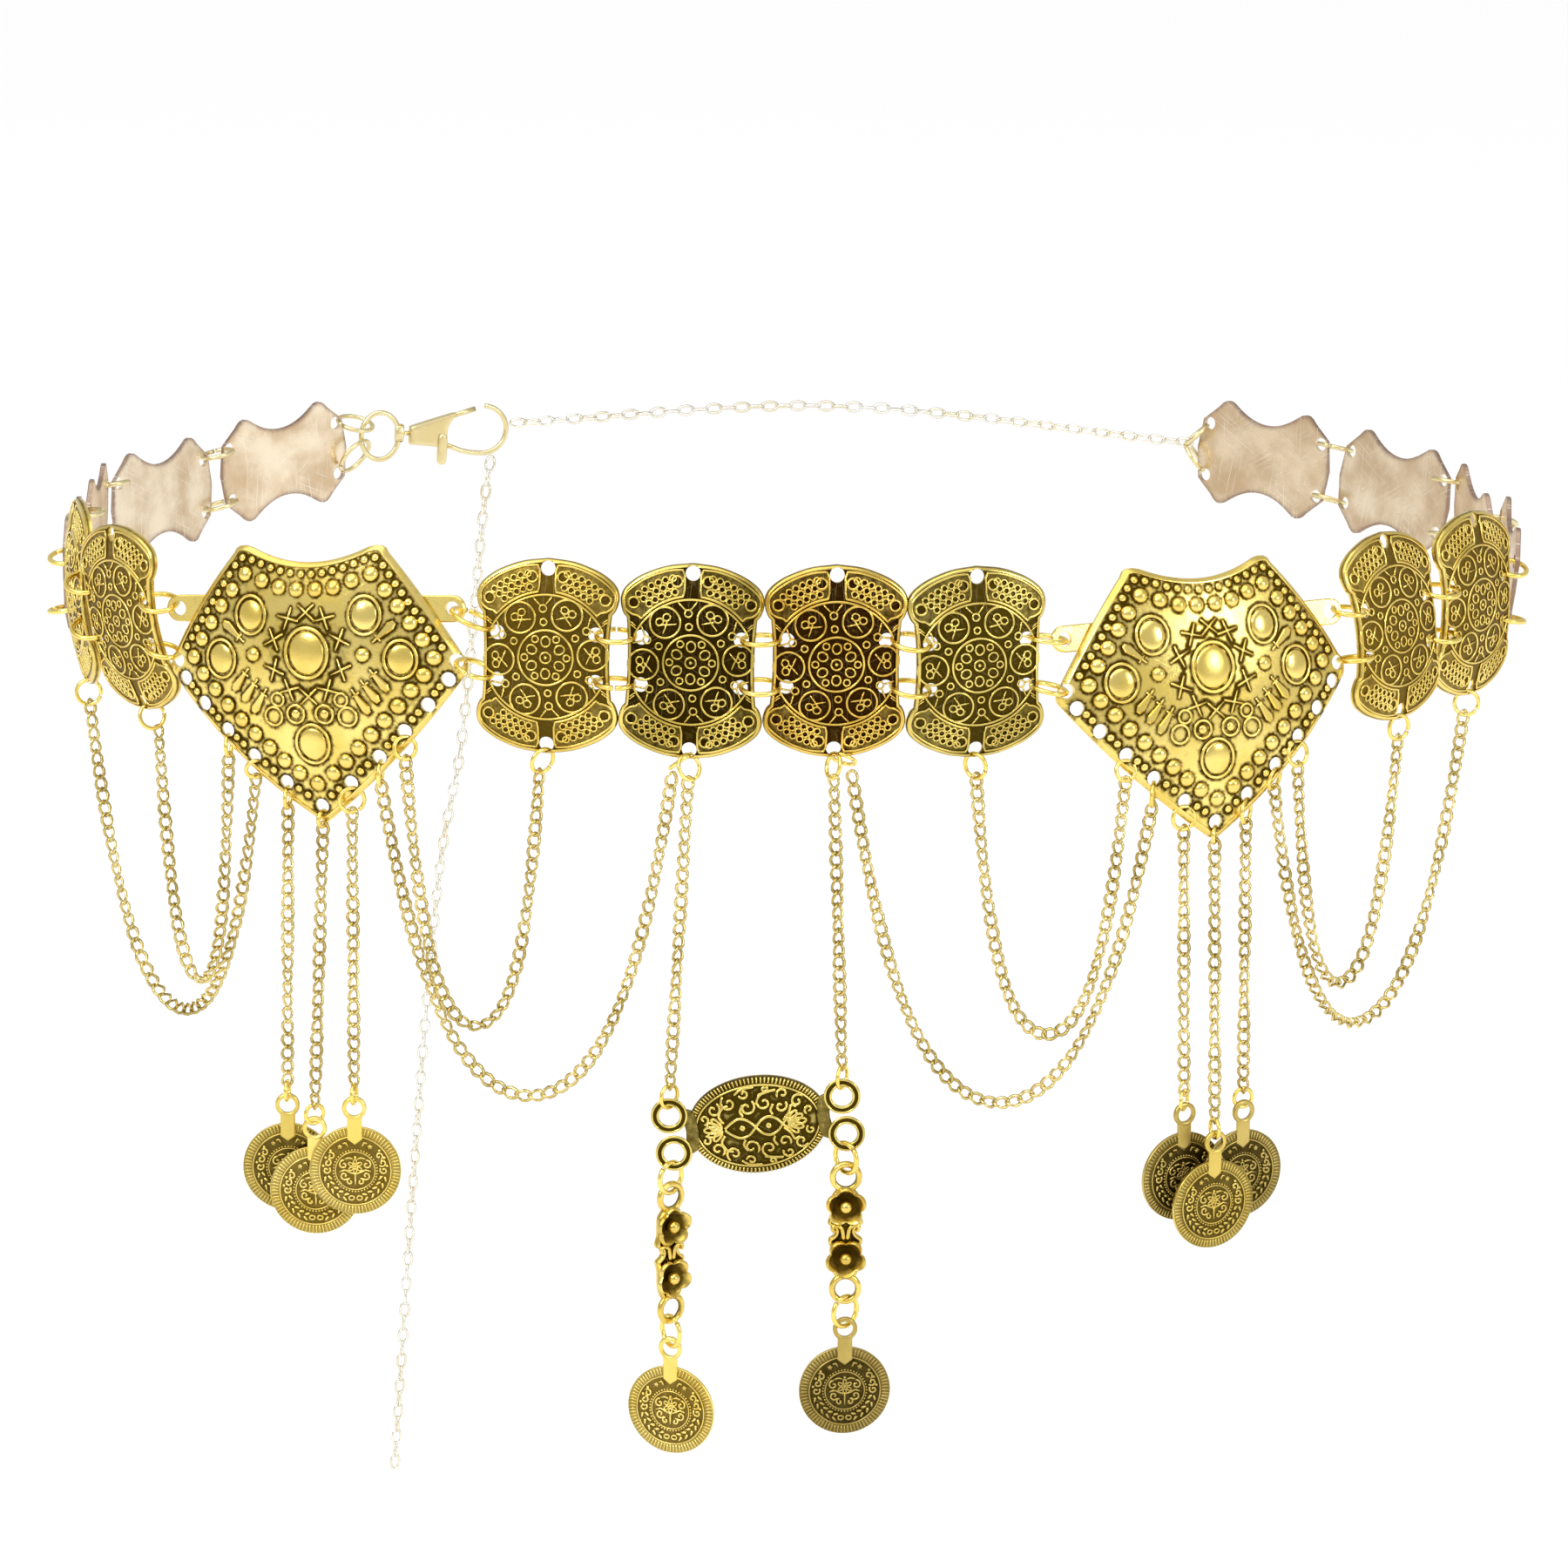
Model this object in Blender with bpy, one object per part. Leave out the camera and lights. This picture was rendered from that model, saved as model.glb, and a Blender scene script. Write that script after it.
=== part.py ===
import math
import bpy
import bmesh
from mathutils import Matrix, Vector
from mathutils.geometry import delaunay_2d_cdt

# Every size below is in millimetres and turned into metres by this factor
mm = 0.001

# Round plate: cast disc with concave sides, a dome and six holes
round_lobe = (17.15, 14.0)
round_waist = 15.3
round_top = 24.0
round_dome = 80.0
round_thickness = 1.6
round_hole = (12.15, 5.8)
round_end_hole = 21.6

# Pentagon plate: point-down plate with a concave top, two tabs and a row of holes
pentagon_top = (17.9, 26.2)
pentagon_dip = 22.1
pentagon_side = (39.4, -4.0)
pentagon_tip = -42.6
pentagon_round = 3.2
pentagon_dome = 115.0
pentagon_thickness = 1.8
pentagon_tab_hole = (36.3, 10.4)
pentagon_ring_hole = (37.0, -2.4)
pentagon_edge_hole = (34.9, -6.9)
pentagon_tip_hole = -38.6
pentagon_edge_ways = (0.0, 0.22, 0.44, 0.64, 0.83, 1.0)
pentagon_edge_bow = 1.9
pentagon_shoulder_bow = 0.8
tab_half_height = 3.3
tab_inner = 27.0
tab_thickness = 1.3

# Back plate: stamped plate with four peaks
back_peak = (13.8, 15.3)
back_dip = 9.8
back_corner = (21.4, 8.6)
back_side = 22.6
back_thickness = 1.3
back_hole = (19.2, 7.5)

# Holes and the open rings that link the plates
hole_radius = 1.85
ring_gap = 11.2
ring_wire = 0.5
ring_fixed_inset = 1.6
ring_free_inset = 0.15

# Plates from the front centre outward: kind, turn, lean and roll in degrees, and rise
right_plates = (
    ("round", 5, -1, 1, 1.0),
    ("round", 14, 0, 0, -0.5),
    ("pentagon", 21, -13, -1, -4.0),
    ("round", 46, -9, 0, -1.0),
    ("round", 51, -3, 3, -1.5),
    ("back", 89, 6, -6, 0.0),
    ("back", 96, -2, -6, -1.0),
    ("back", 126, 6, -3, 0.5),
    ("back", 141, 5, -2, 2.5),
)
left_plates = (
    ("round", -2, -7, 1, 1.5),
    ("round", -7, -6, 0, 2.0),
    ("pentagon", -18, -7, -4, 0.5),
    ("round", -51, 6, -8, 1.0),
    ("round", -75, 1, -8, 1.3),
    ("back", -89, 0, 0, 0.0),
    ("back", -90, -3, -2, -0.5),
    ("back", -121, 2, 0, -2.5),
    ("back", -137, -1, 4, 0.5),
)

# The middle of the wearer's hollow is the origin, this far behind the front plates
loop_middle = 140.0

# Chains: outer radius of the linked band, and the clearance at each end
curb_radius = 1.85
cable_radius = 1.8
chain_gap = 0.35
eye_slack = 0.8
round_hang = 3.1
chain_step = 10.5
swag_offset = 1.25

# Swags: length, drop below the pentagon's hole, swing to the right at the plate's jump ring
swags = {
    ("l", "side_outer"): (173, 5.3, 0.0),
    ("l", "side_inner"): (138, 5.9, 3.2),
    ("l", "front_outer"): (193, 6.7, -3.7),
    ("l", "front_inner"): (148, 6.1, -1.6),
    ("r", "side_outer"): (177, 5.8, -1.0),
    ("r", "side_inner"): (138, 6.6, 0.0),
    ("r", "front_outer"): (194, 6.5, 4.0),
    ("r", "front_inner"): (148, 5.5, 0.0),
}

# Coins: disc, pointed tab and eye
coin_radius = 11.5
coin_thickness = 1.1
coin_drop = 16.5
coin_steps = 20
eye_outer = 3.1
eye_inner = 2.0
coin_tab_half_width = 1.85
coin_tab_end = -8.2
coin_tab_point = -9.6
coin_tab_thickness = 0.9

# Clustered coins, left to right: eye, and where the chain starts below its hole
coin_eyes = {
    "l": ((-119.4, 16.5, -116.8, 5.8), (-112.5, 14.3, -122.2, 4.5), (-102.3, 12.1, -116.2, 6.7)),
    "r": ((106.0, 18.6, -119.1, 6.4), (113.7, 16.4, -125.8, 4.6), (121.2, 23.0, -119.8, 6.6)),
}
coin_turns = {"l": 0, "r": 26}

# Oval link with two pairs of rings, a little tilted
oval_place = (-1.1, -1.0, -116.2)
oval_tilt = -7
oval_half = (17.4, 12.5)
oval_dome = 50.0
oval_thickness = 2.0
oval_eye = (21.6, 4.9)
oval_eye_radius = 3.5
oval_eye_wire = 0.72
yoke_x = (15.2, 18.9)
yoke_half_height = 4.4

# Flower bars and the coins on them: side, x, height of the top eye, turn of bar and coin in degrees
bars = (("l", -22.8, -135.0, 38, -20), ("r", 20.8, -129.6, 4, 6))
bar_length = 29.4
bar_eye_radius = 3.3
bar_eye_wire = 0.72
bar_half_width = 1.9
bar_thickness = 1.5
flower_heights = (-7.6, -21.2)
flower_radius = 5.2
flower_wave = 0.7
flower_thickness = 2.4
bar_coin_drop = 10.5

# Swivel clasp at the back left, measured along its own length from the loop's middle
clasp_place = (-112.6, 270.8, 4.3)
clasp_turn = 17
clasp_tilt = 4
clasp_loop = (5.6, 6.9)
clasp_loop_wire = 0.75
clasp_neck = (4.9, 9.6, 1.0)
clasp_body = ((9.0, -2.1), (17.6, -2.7), (20.8, -3.3), (21.4, -1.2), (21.4, 5.4), (22.6, 7.4), (9.0, 2.8))
clasp_thickness = 2.6
clasp_lever = (17.6, 20.6, -7.8)
clasp_arm = ((20.0, 5.9), (28.0, 8.6))
clasp_hook_centre = (30.6, 2.5)
clasp_hook_radius = 7.0
clasp_wire = 0.75

# Back chain and free tail, as places along their way
back_chain_ends = ((-75.1, 283.0, 5.9), (122.6, 264.9, 4.2))
back_chain_bow = (20.0, 291.0, 9.8)
tail_path = ((-80.9, 280.0, -3.6), (-83.5, 277.3, -22.4), (-90.2, 276, -88.1), (-97.2, 276, -128.2),
             (-105.2, 276, -209.8), (-113.3, 276, -317.7))


def material(name, colour, roughness):
    made = bpy.data.materials.new(name)
    made.use_nodes = True
    shader = made.node_tree.nodes["Principled BSDF"]
    shader.inputs["Base Color"].default_value = (*colour, 1.0)
    shader.inputs["Roughness"].default_value = roughness
    shader.inputs["Metallic"].default_value = 1.0
    return made


# Outlines, as lists of points in the plate's own plane

def arc(centre, radii, start, end, steps):
    points = []
    for step in range(steps + 1):
        angle = math.radians(start + (end - start) * step / steps)
        x = centre[0] + radii[0] * math.cos(angle)
        z = centre[1] + radii[1] * math.sin(angle)
        points.append((x, z))
    return points


def bowed(start, end, rise, steps):
    # A shallow arch between two points, without them, bulging to the right of the way
    length = math.hypot(end[0] - start[0], end[1] - start[1])
    side = ((end[1] - start[1]) / length, -(end[0] - start[0]) / length)
    points = []
    for step in range(1, steps):
        t = step / steps
        lift = rise * 4 * t * (1 - t)
        x = start[0] + (end[0] - start[0]) * t + side[0] * lift
        z = start[1] + (end[1] - start[1]) * t + side[1] * lift
        points.append((x, z))
    return points


def mirrored(points):
    return [(-x, z) for x, z in reversed(points)]


def round_outline():
    # Starts at the right lobe under the top arch and runs anticlockwise
    lobe_x, lobe_z = round_lobe
    top = arc((0, lobe_z - 2.0), (lobe_x, round_top - lobe_z + 2.0), 12, 168, 10)
    left_side = bowed((-lobe_x, lobe_z), (-lobe_x, -lobe_z), -(lobe_x - round_waist), 5)
    left = [(-lobe_x, lobe_z)] + left_side + [(-lobe_x, -lobe_z)]
    bottom = [(-x, -z) for x, z in top]
    right = [(-x, -z) for x, z in left]
    return top + left + bottom + right


def pentagon_outline():
    top_x, top_z = pentagon_top
    side_x, side_z = pentagon_side
    sag = (top_z - pentagon_dip)
    top = [(top_x, top_z)] + bowed((top_x, top_z), (-top_x, top_z), -sag, 8) + [(-top_x, top_z)]
    left_corner = arc((-side_x + pentagon_round, side_z), (pentagon_round,) * 2, 150, 225, 3)
    tip = arc((0, pentagon_tip + pentagon_round), (pentagon_round,) * 2, 232, 308, 3)
    right_corner = arc((side_x - pentagon_round, side_z), (pentagon_round,) * 2, -45, 30, 3)
    shoulder = bowed(right_corner[-1], top[0], pentagon_shoulder_bow, 3)
    left_edge = bowed(left_corner[-1], tip[0], pentagon_edge_bow, 5)
    right_edge = bowed(tip[-1], right_corner[0], pentagon_edge_bow, 5)
    return top + mirrored(shoulder) + left_corner + left_edge + tip + right_edge + right_corner + shoulder


def back_outline():
    peak_x, peak_z = back_peak
    corner_x, corner_z = back_corner
    peak = [(peak_x + 0.9, peak_z - 0.9), (peak_x, peak_z), (peak_x - 1.0, peak_z - 0.5)]
    dip = bowed(peak[2], (-peak[2][0], peak[2][1]), -(peak[2][1] - back_dip), 6)
    top = peak + dip + mirrored(peak)
    left = [(-corner_x, corner_z), (-back_side, 0), (-corner_x, -corner_z)]
    bottom = [(-x, -z) for x, z in top]
    right = [(-x, -z) for x, z in left]
    return top + left + bottom + right


def circle(centre, radius, steps):
    points = arc(centre, (radius, radius), 0, 360, steps)
    return points[:-1]


# Solids

def inside(point, loop):
    hit = False
    for (x1, z1), (x2, z2) in zip(loop, loop[1:] + loop[:1]):
        if (z1 > point[1]) != (z2 > point[1]):
            if point[0] < x1 + (x2 - x1) * (point[1] - z1) / (z2 - z1):
                hit = not hit
    return hit


def inner_grid(outline, holes, spacing):
    # Points in staggered rows, kept clear of the outline and the holes
    edge = outline + [point for hole in holes for point in hole]
    half_width = max(x for x, z in outline)
    low = min(z for x, z in outline)
    high = max(z for x, z in outline)
    row_step = spacing * math.sin(math.radians(60))
    rows = int((high - low) / row_step)
    columns = int(half_width / spacing) + 1
    points = []
    for row in range(rows + 1):
        z = low + (high - low - rows * row_step) / 2 + row * row_step
        for column in range(-columns, columns + 1):
            x = (column + 0.5 * (row % 2)) * spacing
            near = min(math.hypot(x - ex, z - ez) for ex, ez in edge)
            if inside((x, z), outline) and near > spacing * 0.6:
                points.append((x, z))
    return points


def sheet(outline, holes=(), thickness=1.0, dome=None, spacing=None, front=0.0):
    # A plate of even thickness whose face looks along -Y, with domed faces where a dome is given
    holes = list(holes)
    points = list(outline)
    edges = [(i, (i + 1) % len(outline)) for i in range(len(outline))]
    for hole in holes:
        first = len(points)
        edges += [(first + i, first + (i + 1) % len(hole)) for i in range(len(hole))]
        points += hole
    if spacing:
        points += inner_grid(outline, holes, spacing)
    flat = [Vector(point) for point in points]
    verts, _, faces = delaunay_2d_cdt(flat, edges, [], 1, 0.0001)[:3]
    bm = bmesh.new()
    front_verts = []
    back_verts = []
    for vert in verts:
        depth = front
        if dome:
            depth += (vert.x ** 2 + vert.y ** 2) / (2 * dome)
        front_verts.append(bm.verts.new((vert.x * mm, depth * mm, vert.y * mm)))
        back_verts.append(bm.verts.new((vert.x * mm, (depth + thickness) * mm, vert.y * mm)))
    used = {}
    for face in faces:
        centre = sum((verts[i] for i in face), Vector((0, 0))) / len(face)
        if any(inside(centre, hole) for hole in holes):
            continue
        (x1, z1), (x2, z2), (x3, z3) = [verts[i] for i in face[:3]]
        if (x2 - x1) * (z3 - z1) - (x3 - x1) * (z2 - z1) < 0:
            face = face[::-1]
        bm.faces.new([front_verts[i] for i in face])
        bm.faces.new([back_verts[i] for i in reversed(face)])
        for i, j in zip(face, face[1:] + face[:1]):
            used[(i, j)] = True
    for i, j in used:
        if (j, i) not in used:
            bm.faces.new((front_verts[j], front_verts[i], back_verts[i], back_verts[j]))
    loose = [vert for vert in bm.verts if not vert.link_faces]
    bmesh.ops.delete(bm, geom=loose, context="VERTS")
    return bm


def tube(points, radius, sides, across, closed=False):
    # A wire along points that lie in one plane, whose normal is across
    count = len(points)
    bm = bmesh.new()
    rings = []
    for index, point in enumerate(points):
        before = points[index - 1] if closed or index else point
        after = points[(index + 1) % count] if closed or index < count - 1 else point
        out = (after - before).normalized().cross(across)
        ring = []
        for side in range(sides):
            angle = math.tau * (side + 0.5) / sides
            offset = out * math.cos(angle) + across * math.sin(angle)
            ring.append(bm.verts.new((point + offset * radius) * mm))
        rings.append(ring)
    pairs = list(zip(rings, rings[1:]))
    if closed:
        pairs.append((rings[-1], rings[0]))
    for ring, following in pairs:
        for side in range(sides):
            after = (side + 1) % sides
            bm.faces.new((ring[side], ring[after], following[after], following[side]))
    if not closed:
        bm.faces.new(rings[0][::-1])
        bm.faces.new(rings[-1])
    bmesh.ops.recalc_face_normals(bm, faces=bm.faces)
    return bm


def ring_tube(centre, along, across, radius, wire, steps=9, sides=4):
    # A round ring in the plane of along and its square direction, across being its axis
    square = across.cross(along)
    points = []
    for step in range(steps):
        angle = math.tau * step / steps
        points.append(centre + (along * math.cos(angle) + square * math.sin(angle)) * radius)
    return tube(points, wire, sides, across, closed=True)


def add_object(name, bm, colour, matrix=None):
    mesh = bpy.data.meshes.new(name)
    bm.to_mesh(mesh)
    bm.free()
    made = bpy.data.objects.new(name, mesh)
    bpy.context.scene.collection.objects.link(made)
    mesh.materials.append(colour)
    if matrix is not None:
        mesh.transform(matrix)
    return made


def united(body, extras):
    # Join each extra solid to the body, then drop it
    for extra in extras:
        modifier = body.modifiers.new("join", "BOOLEAN")
        modifier.operation = "UNION"
        modifier.solver = "EXACT"
        modifier.object = extra
        bpy.context.view_layer.objects.active = body
        bpy.ops.object.modifier_apply(modifier=modifier.name)
        bpy.data.objects.remove(extra)
    return body


def shade(made, angle=35):
    # Round stretches smooth, corners sharp
    bm = bmesh.new()
    bm.from_mesh(made.data)
    for face in bm.faces:
        face.smooth = True
    for edge in bm.edges:
        edge.smooth = len(edge.link_faces) == 2 and edge.calc_face_angle(0) < math.radians(angle)
    bm.to_mesh(made.data)
    bm.free()


def chain(name, points, radius, colour):
    # The outer form of a linked chain, as one cord along its way
    curve = bpy.data.curves.new(name, "CURVE")
    curve.dimensions = "3D"
    curve.bevel_depth = radius * mm
    curve.bevel_resolution = 2
    curve.use_fill_caps = True
    spline = curve.splines.new("POLY")
    spline.points.add(len(points) - 1)
    for spot, point in zip(spline.points, points):
        spot.co = (*(point * mm), 1)
    curve.materials.append(colour)
    made = bpy.data.objects.new(name, curve)
    bpy.context.scene.collection.objects.link(made)
    return made


# Where the plates sit

hole_reach = {
    "round": (round_hole[0], round_hole[0] ** 2 / (2 * round_dome)),
    "pentagon": (pentagon_tab_hole[0], pentagon_tab_hole[0] ** 2 / (2 * pentagon_dome)),
    "back": (back_hole[0], 0.0),
}
link_holes = {
    "round": (round_hole, (round_hole[0], -round_hole[1])),
    "pentagon": (pentagon_tab_hole, pentagon_ring_hole),
    "back": (back_hole, (back_hole[0], -back_hole[1])),
}
domes = {"round": round_dome, "pentagon": pentagon_dome, "back": None}
thicknesses = {"round": round_thickness, "pentagon": pentagon_thickness, "back": back_thickness}


def turned(degrees):
    return Vector((math.cos(math.radians(degrees)), math.sin(math.radians(degrees)), 0))


def plate_frames(side, rows):
    # Each plate hangs on the one before it, one ring gap away
    sign = 1 if side == "r" else -1
    frames = []
    edge = Vector((sign * ring_gap / 2, 0, 0))
    for index, (kind, turn, lean, roll, rise) in enumerate(rows):
        if index:
            edge = edge + turned((turn + rows[index - 1][1]) / 2) * ring_gap * sign
        reach, setback = hole_reach[kind]
        inward = turned(turn + 90) * setback
        centre = edge + turned(turn) * reach * sign - inward
        edge = centre + turned(turn) * reach * sign + inward
        place = Matrix.Translation(centre + Vector((0, -loop_middle, rise)))
        spin = Matrix.Rotation(math.radians(turn), 4, "Z")
        tip = Matrix.Rotation(math.radians(lean), 4, "X")
        sway = Matrix.Rotation(math.radians(roll), 4, "Y")
        frames.append((kind, place @ spin @ tip @ sway))
    return frames


def plate_point(kind, frame, x, z, behind=0.0):
    # A spot at mid thickness of a plate, in millimetres
    depth = behind + thicknesses[kind] / 2
    if domes[kind]:
        depth += (x * x + z * z) / (2 * domes[kind])
    return frame @ Vector((x, depth, z))


def in_metres(frame):
    # The same placing for a mesh that is already in metres
    scaled = frame.copy()
    scaled.translation = frame.translation * mm
    return scaled


def link_ring(start, end, outward):
    # A ring that bites into the rim of the start hole and runs free through the end hole
    along = (end - start).normalized()
    distance = (end - start).length
    radius = (distance - ring_fixed_inset - ring_free_inset) / 2
    centre = start + along * (ring_fixed_inset + radius)
    across = along.cross(outward).normalized()
    return ring_tube(centre, along, across, radius, ring_wire)


def plate_solid(kind, name, frame, colour):
    dome = domes[kind]
    thickness = thicknesses[kind]
    if kind == "round":
        hole_x, hole_z = round_hole
        spots = [(x, z) for x in (-hole_x, hole_x) for z in (-hole_z, hole_z)]
        spots += [(0, round_end_hole), (0, -round_end_hole)]
        outline, spacing = round_outline(), 11.0
    elif kind == "back":
        hole_x, hole_z = back_hole
        spots = [(x, z) for x in (-hole_x, hole_x) for z in (-hole_z, hole_z)]
        outline, spacing = back_outline(), None
    else:
        spots = edge_holes() + [(sign * pentagon_ring_hole[0], pentagon_ring_hole[1]) for sign in (-1, 1)]
        outline, spacing = pentagon_outline(), 11.0
    holes = [circle(spot, hole_radius, 6) for spot in spots]
    solid = sheet(outline, holes, thickness, dome, spacing)
    made = add_object(name, solid, colour, in_metres(frame))
    if kind == "pentagon":
        united(made, [tab_solid(sign, frame, colour) for sign in (-1, 1)])
    return made


def edge_holes():
    # The row of holes along the two lower edges, from the left corner to the right one
    corner_x, corner_z = pentagon_edge_hole
    climb = corner_z - pentagon_tip_hole
    length = math.hypot(corner_x, climb)
    spots = []
    for t in pentagon_edge_ways:
        lift = pentagon_edge_bow * 4 * t * (1 - t) / length
        spots.append((corner_x * t + climb * lift, pentagon_tip_hole + climb * t - corner_x * lift))
    return mirrored(spots[1:]) + spots


def tab_solid(sign, frame, colour):
    # A tab with a round end, behind the pentagon's face
    hole_x, hole_z = pentagon_tab_hole
    end = arc((hole_x, hole_z), (tab_half_height,) * 2, -90, 90, 6)
    outline = end + [(tab_inner, hole_z + tab_half_height), (tab_inner, hole_z - tab_half_height)]
    hole = circle((hole_x, hole_z), hole_radius, 6)
    if sign < 0:
        outline = mirrored(outline)
        hole = mirrored(hole)
    depth = (hole_x ** 2 + hole_z ** 2) / (2 * pentagon_dome) + pentagon_thickness / 2
    solid = sheet(outline, [hole], tab_thickness, None, None, depth - tab_thickness / 2)
    return add_object("tab", solid, colour, in_metres(frame))


# Coins, flower bars, oval link and clasp

def coin_solid(name, place, turn, colour):
    # The origin of a coin is the middle of its eye
    disc = sheet(circle((0, -coin_drop), coin_radius, coin_steps), (), coin_thickness, None, None,
                 -coin_thickness / 2)
    half = coin_tab_half_width
    foot = math.degrees(math.acos(half / eye_outer))
    outline = arc((0, 0), (eye_outer, eye_outer), -foot, 180 + foot, 10)
    outline += [(-half, coin_tab_end), (0, coin_tab_point), (half, coin_tab_end)]
    tab = sheet(outline, [circle((0, 0), eye_inner, 8)], coin_tab_thickness, None, None,
                -coin_thickness / 2 - coin_tab_thickness / 2)
    matrix = Matrix.Translation(Vector(place) * mm) @ Matrix.Rotation(math.radians(turn), 4, "Z")
    made = add_object(name, disc, colour, matrix)
    return united(made, [add_object("tab", tab, colour, matrix)])


def flower_outline(height):
    points = []
    for step in range(20):
        angle = math.tau * step / 20
        radius = flower_radius + flower_wave * math.cos(angle * 5 - math.pi / 2)
        points.append((radius * math.cos(angle), height + radius * math.sin(angle)))
    return points


def bar_solid(name, place, turn, colour):
    # The origin of a bar is the middle of its top eye
    matrix = Matrix.Translation(Vector(place) * mm) @ Matrix.Rotation(math.radians(turn), 4, "Z")
    half = bar_half_width
    low = -bar_length + bar_eye_radius
    strip = [(half, -bar_eye_radius), (-half, -bar_eye_radius), (-half, low), (half, low)]
    made = add_object(name, sheet(strip, (), bar_thickness, None, None, -bar_thickness / 2), colour, matrix)
    extras = []
    for height in (0, -bar_length):
        eye = ring_tube(Vector((0, 0, height)), Vector((1, 0, 0)), Vector((0, 1, 0)), bar_eye_radius,
                        bar_eye_wire, 12, 5)
        extras.append(add_object("eye", eye, colour, matrix))
    for height in flower_heights:
        flower = sheet(flower_outline(height), (), flower_thickness, None, None, -flower_thickness * 0.6)
        extras.append(add_object("flower", flower, colour, matrix))
    ring_top = -bar_length - bar_eye_radius + bar_eye_wire + ring_wire - 0.25
    ring_low = -bar_length - bar_coin_drop + eye_inner - ring_wire - eye_slack
    centre = Vector((0, 0, (ring_top + ring_low) / 2))
    upright = Matrix.Translation(Vector(place) * mm)
    hang = ring_tube(centre, Vector((0, 0, 1)), Vector((1, 0, 0)), (ring_top - ring_low) / 2, ring_wire)
    extras.append(add_object("ring", hang, colour, upright))
    return united(made, extras)


def oval_solid(name, colour, bar_tops):
    place = Vector((oval_place[0], oval_place[1] - loop_middle, oval_place[2]))
    frame = Matrix.Translation(place) @ Matrix.Rotation(math.radians(oval_tilt), 4, "Y")
    matrix = in_metres(frame)
    outline = arc((0, 0), oval_half, 0, 360, 24)[:-1]
    made = add_object(name, sheet(outline, (), oval_thickness, oval_dome, 10.0, -1.6), colour, matrix)
    extras = []
    for sign in (-1, 1):
        inner, outer = yoke_x
        half = yoke_half_height
        yoke = [(inner, -half), (outer, -half), (outer, half), (inner, half)]
        if sign < 0:
            yoke = mirrored(yoke)
        extras.append(add_object("yoke", sheet(yoke, (), 1.2, None, None, 0.4), colour, matrix))
        for height in (-oval_eye[1], oval_eye[1]):
            centre = Vector((sign * oval_eye[0], 0.9, height))
            eye = ring_tube(centre, Vector((1, 0, 0)), Vector((0, 1, 0)), oval_eye_radius, oval_eye_wire, 12, 5)
            extras.append(add_object("eye", eye, colour, matrix))
    for sign, bar_top in bar_tops:
        eye_middle = frame @ Vector((sign * oval_eye[0], 0.9, -oval_eye[1]))
        ring_top = eye_middle.z - oval_eye_radius + oval_eye_wire + ring_wire - 0.25
        ring_low = bar_top.z + bar_eye_radius - bar_eye_wire - ring_wire - eye_slack
        centre = Vector((bar_top.x, bar_top.y, (ring_top + ring_low) / 2))
        hang = ring_tube(centre, Vector((0, 0, 1)), Vector((1, 0, 0)), (ring_top - ring_low) / 2, ring_wire)
        extras.append(add_object("ring", hang, colour))
    united(made, extras)
    eyes = {}
    for side, sign in (("l", -1), ("r", 1)):
        eyes[side] = frame @ Vector((sign * oval_eye[0], 0.9, oval_eye[1]))
    return eyes


def clasp_frame():
    place = Vector((clasp_place[0], clasp_place[1] - loop_middle, clasp_place[2]))
    turn = Matrix.Rotation(math.radians(clasp_turn), 4, "Z")
    tilt = Matrix.Rotation(math.radians(clasp_tilt), 4, "Y")
    return Matrix.Translation(place) @ turn @ tilt


def clasp_solids(colour):
    matrix = in_metres(clasp_frame())
    side = Vector((0, 1, 0))
    start, end, height = clasp_neck
    loop_points = [Vector((x, 0, z)) for x, z in arc((0, 0), clasp_loop, 0, 360, 18)[:-1]]
    loop = add_object("clasp_loop", tube(loop_points, clasp_loop_wire, 6, side, True), colour, matrix)
    boss_points = [Vector((x, 0, height)) for x in (start, 6.3, 7.2)]
    boss = add_object("boss", tube(boss_points, 1.5, 8, side), colour, matrix)
    pin_points = [Vector((x, 0, height)) for x in (6.0, 8.6)]
    pin = add_object("pin", tube(pin_points, 0.65, 8, side), colour, matrix)
    united(loop, [boss, pin])

    half = clasp_thickness / 2
    body = add_object("clasp_hook", sheet(clasp_body, (), clasp_thickness, None, None, -half), colour, matrix)
    left, right, foot = clasp_lever
    lever = [(left, -2.0), (left, foot + 0.7), (left + 0.7, foot), (right - 0.7, foot), (right, foot + 0.7),
             (right, -2.0)]
    lever = add_object("lever", sheet(lever, (), 1.5, None, None, -2.3), colour, matrix)
    arm_points = [Vector((x, 0, z)) for x, z in clasp_arm]
    arm = add_object("arm", tube(arm_points, clasp_wire, 6, side), colour, matrix)
    curl = arc(clasp_hook_centre, (clasp_hook_radius,) * 2, -90, 88, 12)
    hook_points = [Vector((x, 0, z)) for x, z in [(19.6, -2.2), (24.5, -3.6)] + curl]
    hook = add_object("hook", tube(hook_points, clasp_wire, 6, side), colour, matrix)
    united(body, [lever, arm, hook])
    return loop, body


# Ways of the chains

def hanging(start, end, length):
    # A chain of the given length under its own weight between two points
    run = Vector((end.x - start.x, end.y - start.y, 0))
    span = run.length
    climb = end.z - start.z
    reach = math.sqrt(length * length - climb * climb)
    low, high = span / 40, span * 40
    for _ in range(80):
        middle = (low + high) / 2
        if 2 * middle * math.sinh(span / (2 * middle)) > reach:
            low = middle
        else:
            high = middle
    scale = (low + high) / 2
    bottom = span / 2 - scale * math.atanh(climb / length)
    first = math.sinh(-bottom / scale)
    count = point_count(length)
    points = []
    for step in range(count):
        along = bottom + scale * math.asinh(first + length * step / (count - 1) / scale)
        height = scale * (math.cosh((along - bottom) / scale) - math.cosh(bottom / scale))
        points.append(start + run * (along / span) + Vector((0, 0, height)))
    return points


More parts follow.
